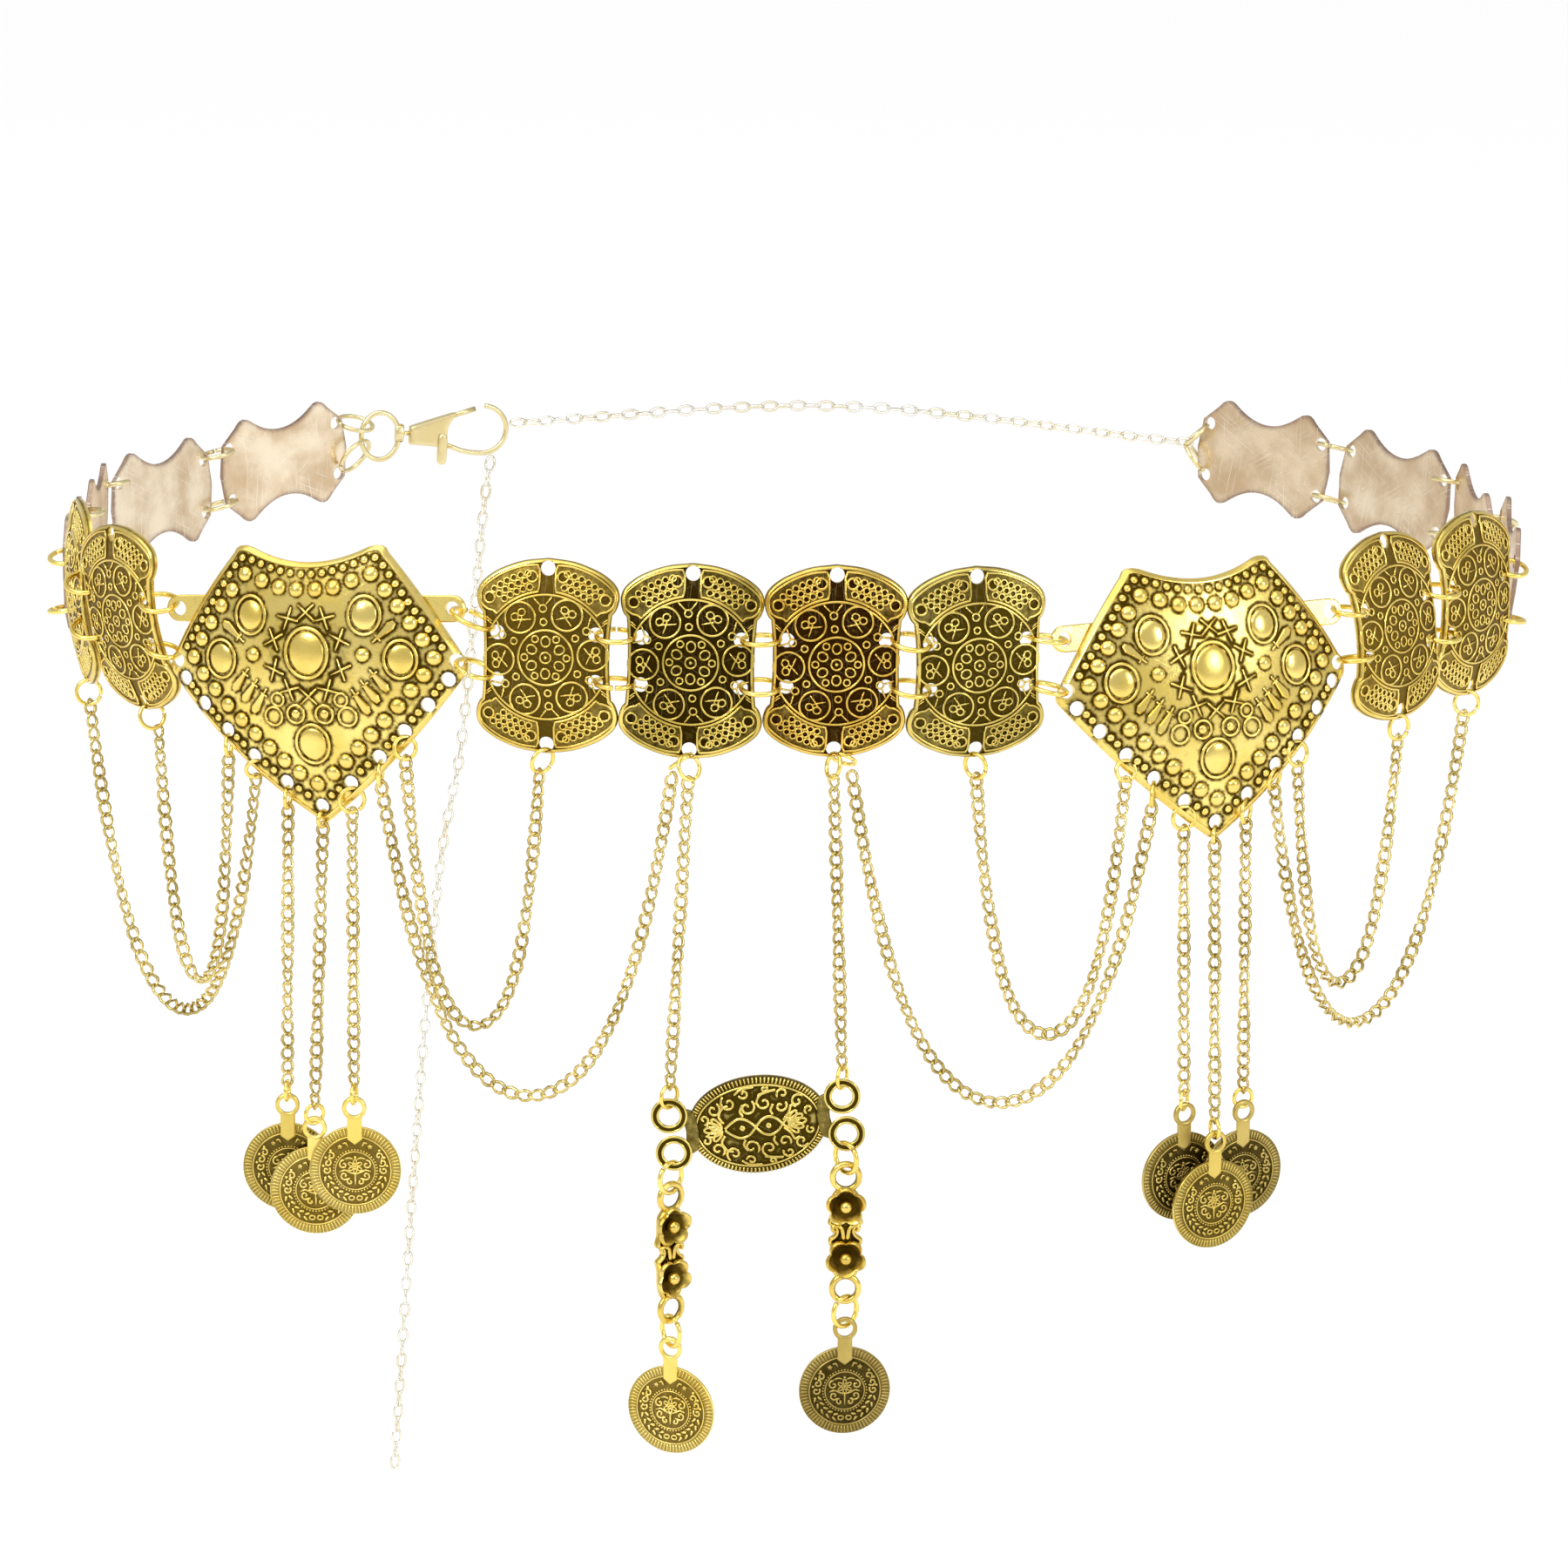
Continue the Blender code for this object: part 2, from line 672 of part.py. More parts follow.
def point_count(length):
    return math.ceil(length / chain_step) + 1


def straight(start, end):
    count = point_count((end - start).length)
    return [start.lerp(end, step / (count - 1)) for step in range(count)]


def smooth_way(knots):
    # Even steps along a smooth curve through the knots
    padded = [knots[0] * 2 - knots[1]] + knots + [knots[-1] * 2 - knots[-2]]
    fine = []
    for a, b, c, d in zip(padded, padded[1:], padded[2:], padded[3:]):
        for step in range(20):
            t = step / 20
            bend = (a * 2 - b * 5 + c * 4 - d) * t * t + (b * 3 - a - c * 3 + d) * t * t * t
            fine.append((b * 2 + (c - a) * t + bend) / 2)
    fine.append(knots[-1])
    lengths = [0.0]
    for first, second in zip(fine, fine[1:]):
        lengths.append(lengths[-1] + (second - first).length)
    count = point_count(lengths[-1])
    points = []
    index = 0
    for step in range(count):
        goal = lengths[-1] * step / (count - 1)
        while index < len(fine) - 2 and lengths[index + 1] < goal:
            index += 1
        part = (goal - lengths[index]) / (lengths[index + 1] - lengths[index])
        points.append(fine[index].lerp(fine[index + 1], part))
    return points


def world_point(place):
    return Vector((place[0], place[1] - loop_middle, place[2]))


def hang_point(kind, frame, x, z, drop, shift=0.0):
    # Where a chain starts, straight under its hole
    return plate_point(kind, frame, x, z) + Vector((0, shift, -drop))


def build():
    for old in list(bpy.data.objects):
        bpy.data.objects.remove(old)
    plate_gold = material("plate_gold", (0.62, 0.45, 0.16), 0.32)
    back_brass = material("back_brass", (0.70, 0.56, 0.40), 0.38)
    ring_gold = material("ring_gold", (0.90, 0.68, 0.25), 0.2)
    chain_gold = material("chain_gold", (0.62, 0.50, 0.25), 0.35)
    pale_chain = material("pale_chain", (0.80, 0.75, 0.62), 0.35)
    coin_gold = material("coin_gold", (0.60, 0.48, 0.20), 0.38)

    # Plates with the rings that hold the next one
    frames = {"r": plate_frames("r", right_plates), "l": plate_frames("l", left_plates)}
    plates = {}
    for side, rows in frames.items():
        for index, (kind, frame) in enumerate(rows):
            colour = back_brass if kind == "back" else plate_gold
            name = f"{kind}_plate_{side}{index + 1}"
            plates[side, index] = plate_solid(kind, name, frame, colour)
    for side, sign in (("r", 1), ("l", -1)):
        rows = frames[side]
        other = frames["l"][0] if side == "r" else None
        pairs = [(index, rows[index], rows[index + 1], sign) for index in range(len(rows) - 1)]
        if other:
            pairs.append((0, rows[0], other, -1))
        for index, (kind, frame), (next_kind, next_frame), way in pairs:
            rings = []
            for hole, next_hole in zip(link_holes[kind], link_holes[next_kind]):
                start = plate_point(kind, frame, way * hole[0], hole[1])
                end = plate_point(next_kind, next_frame, -way * next_hole[0], next_hole[1])
                outward = (frame.col[1].xyz + next_frame.col[1].xyz) * -1
                ring = link_ring(start, end, outward)
                rings.append(add_object("ring", ring, ring_gold))
            united(plates[side, index], rings)

    # Clasp at the back left, held by two rings, and the last ring on the right
    clasp_solids(pale_chain)
    kind, frame = frames["l"][-1]
    loop_frame = clasp_frame()
    rings = []
    for height in (1, -1):
        start = plate_point(kind, frame, -back_hole[0], back_hole[1] * height)
        wire = loop_frame @ Vector((-clasp_loop[0] * 0.86, 0, clasp_loop[1] * 0.52 * height))
        end = wire + (wire - start).normalized() * (clasp_loop_wire + ring_wire + eye_slack + ring_free_inset)
        rings.append(add_object("ring", link_ring(start, end, Vector((0.5, 1, 0))), ring_gold))
    united(plates["l", 8], rings)

    # Oval link, flower bars and their coins
    bar_tops = []
    for side, x, z, turn, coin_turn in bars:
        top = Vector((x, oval_place[1] - loop_middle, z))
        bar_tops.append((1 if side == "r" else -1, top))
        bar_solid(f"flower_bar_{side}", top, turn, plate_gold)
        eye = top - Vector((0, 0, bar_length + bar_coin_drop))
        coin_solid(f"coin_centre_{side}", eye, coin_turn, coin_gold)
    oval_eyes = oval_solid("oval_link", plate_gold, bar_tops)

    # Chains from the two front plates to the oval link
    for side in ("l", "r"):
        kind, frame = frames[side][0]
        top = hang_point(kind, frame, 0, -round_end_hole, round_hang, -swag_offset - 0.9)
        low = oval_eyes[side] + Vector((0, 0, oval_eye_radius + oval_eye_wire + chain_gap + 0.1))
        chain(f"drop_centre_{side}", straight(top, low), curb_radius, chain_gold)

    # Two swags inside each pentagon and two outside it
    edge = edge_holes()
    tip_index = len(edge) // 2
    for side, sign in (("l", -1), ("r", 1)):
        rows = frames[side]
        kind, frame = rows[2]
        for place, steps, plate_index in (("front_outer", -1, 0), ("front_inner", -2, 1),
                                          ("side_inner", 2, 3), ("side_outer", 1, 4)):
            reach = steps + (1 if steps > 0 else -1)
            x, z = edge[tip_index + sign * reach]
            shift = swag_offset if place.endswith("outer") else -swag_offset
            length, drop, lean = swags[side, place]
            start = hang_point(kind, frame, x, z, drop, shift)
            end_kind, end_frame = rows[plate_index]
            end_shift = shift + 0.9 if place == "front_outer" else 0.0
            end = hang_point(end_kind, end_frame, 0, -round_end_hole, round_hang, end_shift)
            end.x += lean
            points = hanging(start, end, length)
            chain(f"swag_{place}_{side}", points, curb_radius, chain_gold)

    # Three coins under each pentagon
    for side in ("l", "r"):
        kind, frame = frames[side][2]
        for index in range(3):
            x, z = edge[tip_index - 1 + index]
            row = coin_eyes[side][index]
            top = hang_point(kind, frame, x, z, row[3])
            eye = world_point(row[:3])
            low = eye + Vector((0, 0, eye_outer + chain_gap))
            chain(f"drop_{side}{index + 1}", straight(top, low), curb_radius, chain_gold)
            coin_solid(f"coin_{side}{index + 1}", eye, coin_turns[side], coin_gold)

    # Back chain and the free tail
    ends = [world_point(place) for place in back_chain_ends]
    way = smooth_way([ends[0], world_point(back_chain_bow), ends[1]])
    chain("back_chain", way, cable_radius, pale_chain)
    tail = smooth_way([world_point(place) for place in tail_path])
    chain("tail_chain", tail, cable_radius, pale_chain)

    for made in bpy.data.objects:
        if made.type == "MESH":
            shade(made)


build()
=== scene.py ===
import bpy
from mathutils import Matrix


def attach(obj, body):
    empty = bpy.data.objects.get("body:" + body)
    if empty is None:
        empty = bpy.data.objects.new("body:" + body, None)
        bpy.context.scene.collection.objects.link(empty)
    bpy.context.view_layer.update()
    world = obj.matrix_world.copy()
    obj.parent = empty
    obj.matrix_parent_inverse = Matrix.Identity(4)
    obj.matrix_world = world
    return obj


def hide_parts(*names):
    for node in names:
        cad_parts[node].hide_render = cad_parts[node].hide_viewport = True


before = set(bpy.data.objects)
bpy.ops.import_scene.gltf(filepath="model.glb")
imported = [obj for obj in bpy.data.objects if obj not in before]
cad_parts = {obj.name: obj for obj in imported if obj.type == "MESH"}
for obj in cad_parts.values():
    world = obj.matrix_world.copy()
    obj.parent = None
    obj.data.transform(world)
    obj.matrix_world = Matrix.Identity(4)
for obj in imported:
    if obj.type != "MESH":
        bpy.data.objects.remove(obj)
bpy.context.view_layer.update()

import math
import random
import bpy
import bmesh
from mathutils import Matrix, Vector
from mathutils.geometry import delaunay_2d_cdt
from mathutils.kdtree import KDTree

mm = 0.001
loopMiddle = 140.0  # the hollow's middle lies this far behind the front plates


# Camera at the photo's viewing angle

view = {"place": (0.00506, -1.44613, 0.31249), "pitch": 75.353, "roll": 0.206, "lens": 126.81}

bpy.ops.object.select_all(action="DESELECT")
bpy.ops.object.camera_add(location=view["place"])
camera = bpy.context.object
camera.data.lens = view["lens"]
camera.data.sensor_width = 36
pitch = Matrix.Rotation(math.radians(view["pitch"]), 4, "X")
roll = Matrix.Rotation(math.radians(view["roll"]), 4, "Z")
camera.matrix_world = Matrix.Translation(view["place"]) @ pitch @ roll
bpy.context.scene.camera = camera
bpy.context.scene.view_settings.view_transform = "Standard"
print("camera placed")


# Small tools

def onlySelected(*pieces):
    bpy.ops.object.select_all(action="DESELECT")
    for piece in pieces:
        piece.select_set(True)
    bpy.context.view_layer.objects.active = pieces[0]


def joined(name, pieces):
    onlySelected(*pieces)
    if len(pieces) > 1:
        bpy.ops.object.join()
    pieces[0].name = name
    pieces[0].data.name = name
    return pieces[0]


def placed(piece, matrix):
    piece.data.transform(matrix)
    return piece


def duplicated(piece, name):
    copy = piece.copy()
    copy.data = piece.data.copy()
    copy.name = name
    bpy.context.scene.collection.objects.link(copy)
    return copy


def smoothed(piece, angle):
    onlySelected(piece)
    bpy.ops.object.shade_smooth_by_angle(angle=math.radians(angle))
    return piece


def shifted(piece, depth):
    return placed(piece, Matrix.Translation((0, depth * mm, 0)))


def painted(piece, look):
    piece.data.materials.clear()
    piece.data.materials.append(metals[look])
    return piece


def clamped(value, high=1.0):
    return min(max(value, 0.0), high)


def setRecess(piece, values):
    # how deep each point lies in the relief, 0 on top and 1 in the ground
    layer = piece.data.attributes.get("recess") or piece.data.attributes.new("recess", "FLOAT", "POINT")
    if not hasattr(values, "__len__"):
        values = [values] * len(piece.data.vertices)
    layer.data.foreach_set("value", values)
    return piece


def recessBy(piece, rule):
    # the same, worked out from each point's place in millimetres
    return setRecess(piece, [rule(*(part / mm for part in vert.co)) for vert in piece.data.vertices])


def meshPiece(name, bm):
    mesh = bpy.data.meshes.new(name)
    bm.to_mesh(mesh)
    bm.free()
    piece = bpy.data.objects.new(name, mesh)
    bpy.context.scene.collection.objects.link(piece)
    return piece


def bridged(bm, loops):
    # walls from each loop to the next, which has as many corners
    for first, second in zip(loops, loops[1:]):
        for i in range(len(first)):
            bm.faces.new((first[i - 1], first[i], second[i], second[i - 1]))


def pointTree(points):
    # finds the nearest of many flat points
    tree = KDTree(len(points))
    for index, (x, z) in enumerate(points):
        tree.insert((x, z, 0), index)
    tree.balance()
    return tree


def pieceName(node):
    words = node.split("_")
    return words[0] + "".join(word.capitalize() for word in words[1:])


def finished(piece, body, node):
    piece.name = pieceName(node)
    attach(piece, body)
    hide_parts(node)
    return piece


def wires(name, lines, roundness=1):
    # every line is its points in millimetres, its radius, and whether it closes on itself
    curve = bpy.data.curves.new(name, "CURVE")
    curve.dimensions = "3D"
    curve.bevel_depth = mm
    curve.bevel_resolution = roundness
    curve.use_fill_caps = True
    for points, radius, closed in lines:
        spline = curve.splines.new("POLY")
        spline.points.add(len(points) - 1)
        for spot, point in zip(spline.points, points):
            spot.co = (*(Vector(point) * mm), 1)
            spot.radius = radius
        spline.use_cyclic_u = closed
    made = bpy.data.objects.new(name, curve)
    bpy.context.scene.collection.objects.link(made)
    onlySelected(made)
    bpy.ops.object.convert(target="MESH")
    made = bpy.context.object
    bpy.ops.object.mode_set(mode="EDIT")
    bpy.ops.mesh.select_all(action="SELECT")
    bpy.ops.mesh.remove_doubles(threshold=0.000002)
    bpy.ops.mesh.normals_make_consistent(inside=False)
    bpy.ops.object.mode_set(mode="OBJECT")
    bpy.ops.object.shade_smooth()
    return made


def openRing(centre, along, across, radius, wire, cut=0.0, gap=7):
    # a bent wire ring with its small cut, in the plane square to across
    square = across.cross(along)
    points = []
    for step in range(29):
        angle = math.radians(cut + gap / 2 + (360 - gap) * step / 28)
        points.append(centre + (along * math.cos(angle) + square * math.sin(angle)) * radius)
    return points, wire, False


def polar(radius, degrees):
    return radius * math.cos(math.radians(degrees)), radius * math.sin(math.radians(degrees))


def between(first, second, part):
    return first[0] + (second[0] - first[0]) * part, first[1] + (second[1] - first[1]) * part


def arc(centre, radius, start, end, steps):
    spots = [polar(radius, start + (end - start) * step / steps) for step in range(steps + 1)]
    return [(centre[0] + x, centre[1] + z) for x, z in spots]


def oval(x, z, halfX, halfZ, steps, turn=0):
    lean = math.radians(turn)
    points = []
    for step in range(steps):
        angle = math.tau * step / steps
        u, v = halfX * math.cos(angle), halfZ * math.sin(angle)
        points.append((x + u * math.cos(lean) - v * math.sin(lean), z + u * math.sin(lean) + v * math.cos(lean)))
    return points


def circle(x, z, radius, steps):
    return oval(x, z, radius, radius, steps)


def atDepth(points, depth):
    return [Vector((x, depth, z)) for x, z in points]


def edgesOf(loop):
    return zip(loop, loop[1:] + loop[:1])


def spiral(x, z, start, size, turns, direction):
    points = []
    count = int(14 * turns)
    for step in range(count + 1):
        t = step / count
        reach = size * (0.18 + 0.82 * t)
        angle = start + direction * turns * math.tau * t
        points.append((x + reach * math.cos(angle), z + reach * math.sin(angle)))
    return points


# Materials

def newNode(tree, kind, x, y, settings=None, **values):
    node = tree.nodes.new(kind)
    node.location = (x, y)
    for name, value in (settings or {}).items():
        setattr(node, name, value)
    for name, value in values.items():
        node.inputs[name.replace("_", " ")].default_value = value
    return node


def mixColour(tree, x, y, factor, first, second):
    mix = newNode(tree, "ShaderNodeMix", x, y, {"data_type": "RGBA"})
    tree.links.new(factor, mix.inputs[0])
    for socket, value in ((mix.inputs[6], first), (mix.inputs[7], second)):
        if isinstance(value, tuple):
            socket.default_value = (*value, 1)
        else:
            tree.links.new(value, socket)
    return mix.outputs[2]


def spread(tree, x, y, value, fromLow, fromHigh, low, high, smooth=False):
    kind = "SMOOTHSTEP" if smooth else "LINEAR"
    node = newNode(tree, "ShaderNodeMapRange", x, y, {"interpolation_type": kind}, From_Min=fromLow,
                   From_Max=fromHigh, To_Min=low, To_Max=high)
    tree.links.new(value, node.inputs["Value"])
    return node.outputs["Result"]


def maths(tree, x, y, operation, first, second):
    node = newNode(tree, "ShaderNodeMath", x, y, {"operation": operation})
    for socket, value in zip(node.inputs, (first, second)):
        if isinstance(value, (int, float)):
            socket.default_value = value
        else:
            tree.links.new(value, socket)
    return node.outputs[0]


def groupTree(name, inputs, outputs):
    tree = bpy.data.node_groups.new(name, "ShaderNodeTree")
    for title, value in inputs.items():
        socket = tree.interface.new_socket(title, in_out="INPUT", socket_type="NodeSocketFloat")
        socket.default_value = value
    for title in outputs:
        tree.interface.new_socket(title, in_out="OUTPUT", socket_type="NodeSocketFloat")
    return tree, newNode(tree, "NodeGroupInput", -900, 0), newNode(tree, "NodeGroupOutput", 900, 0)


patinaScales = {"cloudy": 520, "broad": 75, "grain": 2600}
scratchLines = ((84, 1.6, 130), (97, 2.6, 180), (28, 2.2, 150), (-34, 3.2, 170))  # turn, how short, how thin


def makePatinaGroup():
    # dark metal left in the ground of a casting, and the tone of the plating
    tree, given, made = groupTree("castPatina", {"Recess": 0, "Amount": 1, "Mottle": 0.4}, ("Dark", "Tone", "Grain"))
    where = newNode(tree, "ShaderNodeTexCoord", -900, -300)
    clouds = []
    for index, (name, detail, rough) in enumerate((("cloudy", 6, 0.65), ("broad", 4, 0.55), ("grain", 3, 0.6))):
        clouds.append(newNode(tree, "ShaderNodeTexNoise", -650, 100 - 250 * index, Scale=patinaScales[name],
                              Detail=detail, Roughness=rough))
        tree.links.new(where.outputs["Object"], clouds[-1].inputs["Vector"])
    cloudy, broad, grain = clouds
    depth = maths(tree, -400, 250, "MULTIPLY", given.outputs["Recess"], given.outputs["Amount"])
    swing = maths(tree, -400, 50, "SUBTRACT", cloudy.outputs["Fac"], 0.5)
    swing = maths(tree, -200, 50, "MULTIPLY", swing, given.outputs["Mottle"])
    total = maths(tree, 0, 150, "ADD", depth, swing)
    tree.links.new(spread(tree, 250, 150, total, 0.12, 0.8, 0, 1, True), made.inputs["Dark"])
    tree.links.new(spread(tree, 250, -150, broad.outputs["Fac"], 0.32, 0.68, 0, 1, True), made.inputs["Tone"])
    tree.links.new(grain.outputs["Fac"], made.inputs["Grain"])
    return tree


def makeScratchGroup():
    # fine straight marks in four directions, on the piece's own flat map
    tree, given, made = groupTree("fineScratches", {"Density": 0.5}, ("Marks",))
    where = newNode(tree, "ShaderNodeUVMap", -1100, -300, {"uv_map": "flat"})
    marks = None
    for index, (turn, long, thin) in enumerate(scratchLines):
        spin = newNode(tree, "ShaderNodeMapping", -900, -250 * index, {"vector_type": "TEXTURE"},
                       Location=(index * 3.7, index * 1.3, 0), Rotation=(0, 0, math.radians(turn)),
                       Scale=(1 / long, 1 / thin, 1))
        lines = newNode(tree, "ShaderNodeTexNoise", -650, -250 * index, {"noise_dimensions": "2D"}, Scale=1, Detail=1,
                        Roughness=0.4)
        tree.links.new(where.outputs["UV"], spin.inputs["Vector"])
        tree.links.new(spin.outputs["Vector"], lines.inputs["Vector"])
        thinned = spread(tree, -400, -250 * index, lines.outputs["Fac"], 0.745, 0.80, 0, 1)
        marks = thinned if marks is None else maths(tree, -150, -250 * index, "MAXIMUM", marks, thinned)
    tree.links.new(maths(tree, 300, 0, "MULTIPLY", marks, given.outputs["Density"]), made.inputs["Marks"])
    return tree


patinaGroup = makePatinaGroup()
scratchGroup = makeScratchGroup()


def castMetal(name, finish):
    # bright and warm are the plating, dark is the patina in the ground
    made = bpy.data.materials.new(name)
    made.use_nodes = True
    tree = made.node_tree
    shader = tree.nodes["Principled BSDF"]
    shader.location = (900, 0)
    depth = newNode(tree, "ShaderNodeAttribute", -700, 200, {"attribute_name": "recess"})
    patina = newNode(tree, "ShaderNodeGroup", -400, 100, {"node_tree": patinaGroup}, Amount=finish["amount"],
                     Mottle=finish["mottle"])
    scratches = newNode(tree, "ShaderNodeGroup", -400, -300, {"node_tree": scratchGroup},
                        Density=finish["scratches"])
    tree.links.new(depth.outputs["Fac"], patina.inputs["Recess"])
    dark, tone = patina.outputs["Dark"], patina.outputs["Tone"]
    plating = mixColour(tree, -100, 200, tone, finish["bright"], finish["warm"])
    colour = mixColour(tree, 150, 200, dark, plating, finish["dark"])
    colour = mixColour(tree, 400, 200, scratches.outputs["Marks"], colour, finish["mark"])
    tree.links.new(colour, shader.inputs["Base Color"])
    rough = spread(tree, 150, -50, dark, 0, 1, finish["shine"], finish["dull"])
    rough = maths(tree, 400, -50, "ADD", rough, spread(tree, 150, -350, tone, 0, 1, -0.04, 0.05))
    tree.links.new(rough, shader.inputs["Roughness"])
    tree.links.new(spread(tree, 400, -250, dark, 0, 1, 1, finish["metal"]), shader.inputs["Metallic"])
    height = maths(tree, 150, -550, "SUBTRACT", patina.outputs["Grain"], scratches.outputs["Marks"])
    bump = newNode(tree, "ShaderNodeBump", 600, -450, Strength=finish["bump"], Distance=0.00012)
    tree.links.new(height, bump.inputs["Height"])
    tree.links.new(bump.outputs["Normal"], shader.inputs["Normal"])
    return made


castFinish = {"bright": (0.90, 0.69, 0.19), "warm": (0.66, 0.47, 0.09), "dark": (0.045, 0.024, 0.001),
              "mark": (0.95, 0.8, 0.4), "amount": 1.0, "mottle": 0.6, "shine": 0.17, "dull": 0.48, "metal": 1.0,
              "scratches": 0.12, "bump": 0.25}
finishes = {
    "plateGold": {"dark": (0.10, 0.060, 0.006)},
    "plateDark": {"bright": (0.84, 0.66, 0.18), "warm": (0.54, 0.40, 0.08), "dark": (0.028, 0.015, 0.001)},
    "plateOlive": {"bright": (0.84, 0.68, 0.20), "warm": (0.58, 0.44, 0.11), "dark": (0.060, 0.038, 0.003)},
    "plateRed": {"bright": (0.86, 0.63, 0.15), "warm": (0.60, 0.38, 0.06), "dark": (0.030, 0.011, 0.001)},
    "plateLight": {"bright": (0.92, 0.72, 0.22), "warm": (0.74, 0.54, 0.12), "dark": (0.17, 0.105, 0.012)},
    "pentagonGold": {"bright": (0.94, 0.74, 0.23), "warm": (0.80, 0.59, 0.13), "dark": (0.060, 0.034, 0.002),
                     "mottle": 1.3, "shine": 0.2},
    "coinGold": {"bright": (0.96, 0.78, 0.26), "warm": (0.86, 0.65, 0.15), "dark": (0.15, 0.094, 0.012),
                 "mottle": 0.3, "shine": 0.28},
    # darker copies of the coin metal: painted shade for the coins that hang in shade, the second one for deeper shade
    "coinDull": {"bright": (0.78, 0.61, 0.17), "warm": (0.64, 0.47, 0.10), "dark": (0.085, 0.054, 0.007),
                 "mottle": 0.3, "shine": 0.32},
    "coinOlive": {"bright": (0.60, 0.46, 0.14), "warm": (0.46, 0.34, 0.09), "dark": (0.035, 0.022, 0.002),
                  "mottle": 0.3, "shine": 0.3},
    "ringGold": {"bright": (0.97, 0.78, 0.24), "warm": (0.90, 0.67, 0.15), "mottle": 0.1, "shine": 0.2,
                 "bump": 0.05},
    "chainGold": {"bright": (0.82, 0.66, 0.26), "warm": (0.50, 0.38, 0.11), "dark": (0.12, 0.085, 0.012),
                  "mottle": 1.5, "shine": 0.2, "bump": 0.08},
    # the cable chains' near-white metal: their pale plating, whitened further as a painted highlight
    "paleGoldAndHighlight": {"bright": (0.95, 0.93, 0.84), "warm": (0.90, 0.82, 0.62), "mottle": 0.2, "shine": 0.2,
                 "bump": 0.08},
    "claspGold": {"bright": (0.82, 0.72, 0.42), "warm": (0.74, 0.62, 0.32), "mottle": 0.3, "shine": 0.3},
    "backBrass": {"bright": (0.88, 0.75, 0.56), "warm": (0.62, 0.46, 0.29), "dark": (0.27, 0.17, 0.13),
                  "mark": (1.0, 0.95, 0.84), "mottle": 0.3, "shine": 0.28, "dull": 0.4, "scratches": 0.6,
                  "bump": 0.2},
}
metals = {name: castMetal(name, {**castFinish, **changes}) for name, changes in finishes.items()}


def bentRings(rings, look="ringGold"):
    return painted(setRecess(wires("bows", rings, 2), 0.0), look)


print("materials ready")


# Where the plates sit, as the model has them

roundPlate = {"lobe": ((15.9, 10.5), (16.75, 11.5), (17.4, 13.4), (17.5, 15.3), (16.8, 17.3), (15.0, 19.2),
                       (11.8, 21.2), (6.3, 23.2), (0, 24.0)),
              "waist": 15.4, "dome": 80.0, "thickness": 1.6, "hole": (12.15, 5.8), "endHole": 21.6}
pentagon = {"top": (18.9, 26.2), "dip": 22.1, "side": (39.4, -4.0), "tip": -42.6, "round": 3.2, "dome": 115.0,
            "thickness": 1.8, "tabHole": (36.3, 10.4), "ringHole": (37.0, -2.4), "edgeHole": (34.9, -6.9),
            "tipHole": -38.6, "edgeWays": (0.0, 0.22, 0.44, 0.64, 0.83, 1.0), "edgeBow": 1.9, "shoulderBow": 0.8,
            "tabHalf": 3.3, "tabInner": 27.0, "tabThickness": 1.3, "tabRim": ((0, 0.3), (0.3, 0.0))}
backPlate = {"peak": (13.8, 15.3), "dip": 9.8, "corner": (21.4, 8.6), "side": 22.6, "thickness": 1.3,
             "hole": (19.2, 7.5), "rim": ((0, 0.28), (0.22, 0.04), (0.45, 0.0)), "spacing": 1.1,
             "wear": (0.62, 2.6)}  # how dark the edge is, and how far in
link = {"hole": 1.85, "gap": 11.2, "wire": 0.66, "fixedInset": 1.6, "freeInset": 0.15}

rows = {  # kind, turn, lean, roll in degrees, and rise
    "r": (("round", 5, -1, 1, 1.0), ("round", 14, 0, 0, -0.5), ("pentagon", 21, -13, -1, -4.0),
          ("round", 46, -9, 0, -1.0), ("round", 51, -3, 3, -1.5), ("back", 89, 6, -6, 0.0),
          ("back", 96, -2, -6, -1.0), ("back", 126, 6, -3, 0.5), ("back", 141, 5, -2, 2.5)),
    "l": (("round", -2, -7, 1, 1.5), ("round", -7, -6, 0, 2.0), ("pentagon", -18, -7, -4, 0.5),
          ("round", -51, 6, -8, 1.0), ("round", -75, 1, -8, 1.3), ("back", -89, 0, 0, 0.0),
          ("back", -90, -3, -2, -0.5), ("back", -121, 2, 0, -2.5), ("back", -137, -1, 4, 0.5)),
}
linkHoles = {
    "round": (roundPlate["hole"], (roundPlate["hole"][0], -roundPlate["hole"][1])),
    "pentagon": (pentagon["tabHole"], pentagon["ringHole"]),
    "back": (backPlate["hole"], (backPlate["hole"][0], -backPlate["hole"][1])),
}
domes = {"round": roundPlate["dome"], "pentagon": pentagon["dome"], "back": None}
thicknesses = {"round": roundPlate["thickness"], "pentagon": pentagon["thickness"], "back": backPlate["thickness"]}


def turned(degrees):
    return Vector((math.cos(math.radians(degrees)), math.sin(math.radians(degrees)), 0))


def plateFrames(side):
    sign = 1 if side == "r" else -1
    frames = []
    edge = Vector((sign * link["gap"] / 2, 0, 0))
    for index, (kind, turn, lean, sway, rise) in enumerate(rows[side]):
        if index:
            edge = edge + turned((turn + rows[side][index - 1][1]) / 2) * link["gap"] * sign
        reach = linkHoles[kind][0][0]
        setback = reach ** 2 / (2 * domes[kind]) if domes[kind] else 0.0
        inward = turned(turn + 90) * setback
        centre = edge + turned(turn) * reach * sign - inward
        edge = centre + turned(turn) * reach * sign + inward
        place = Matrix.Translation(centre + Vector((0, -loopMiddle, rise)))
        spin = Matrix.Rotation(math.radians(turn), 4, "Z")
        tip = Matrix.Rotation(math.radians(lean), 4, "X")
        swing = Matrix.Rotation(math.radians(sway), 4, "Y")
        frames.append((kind, place @ spin @ tip @ swing))
    return frames


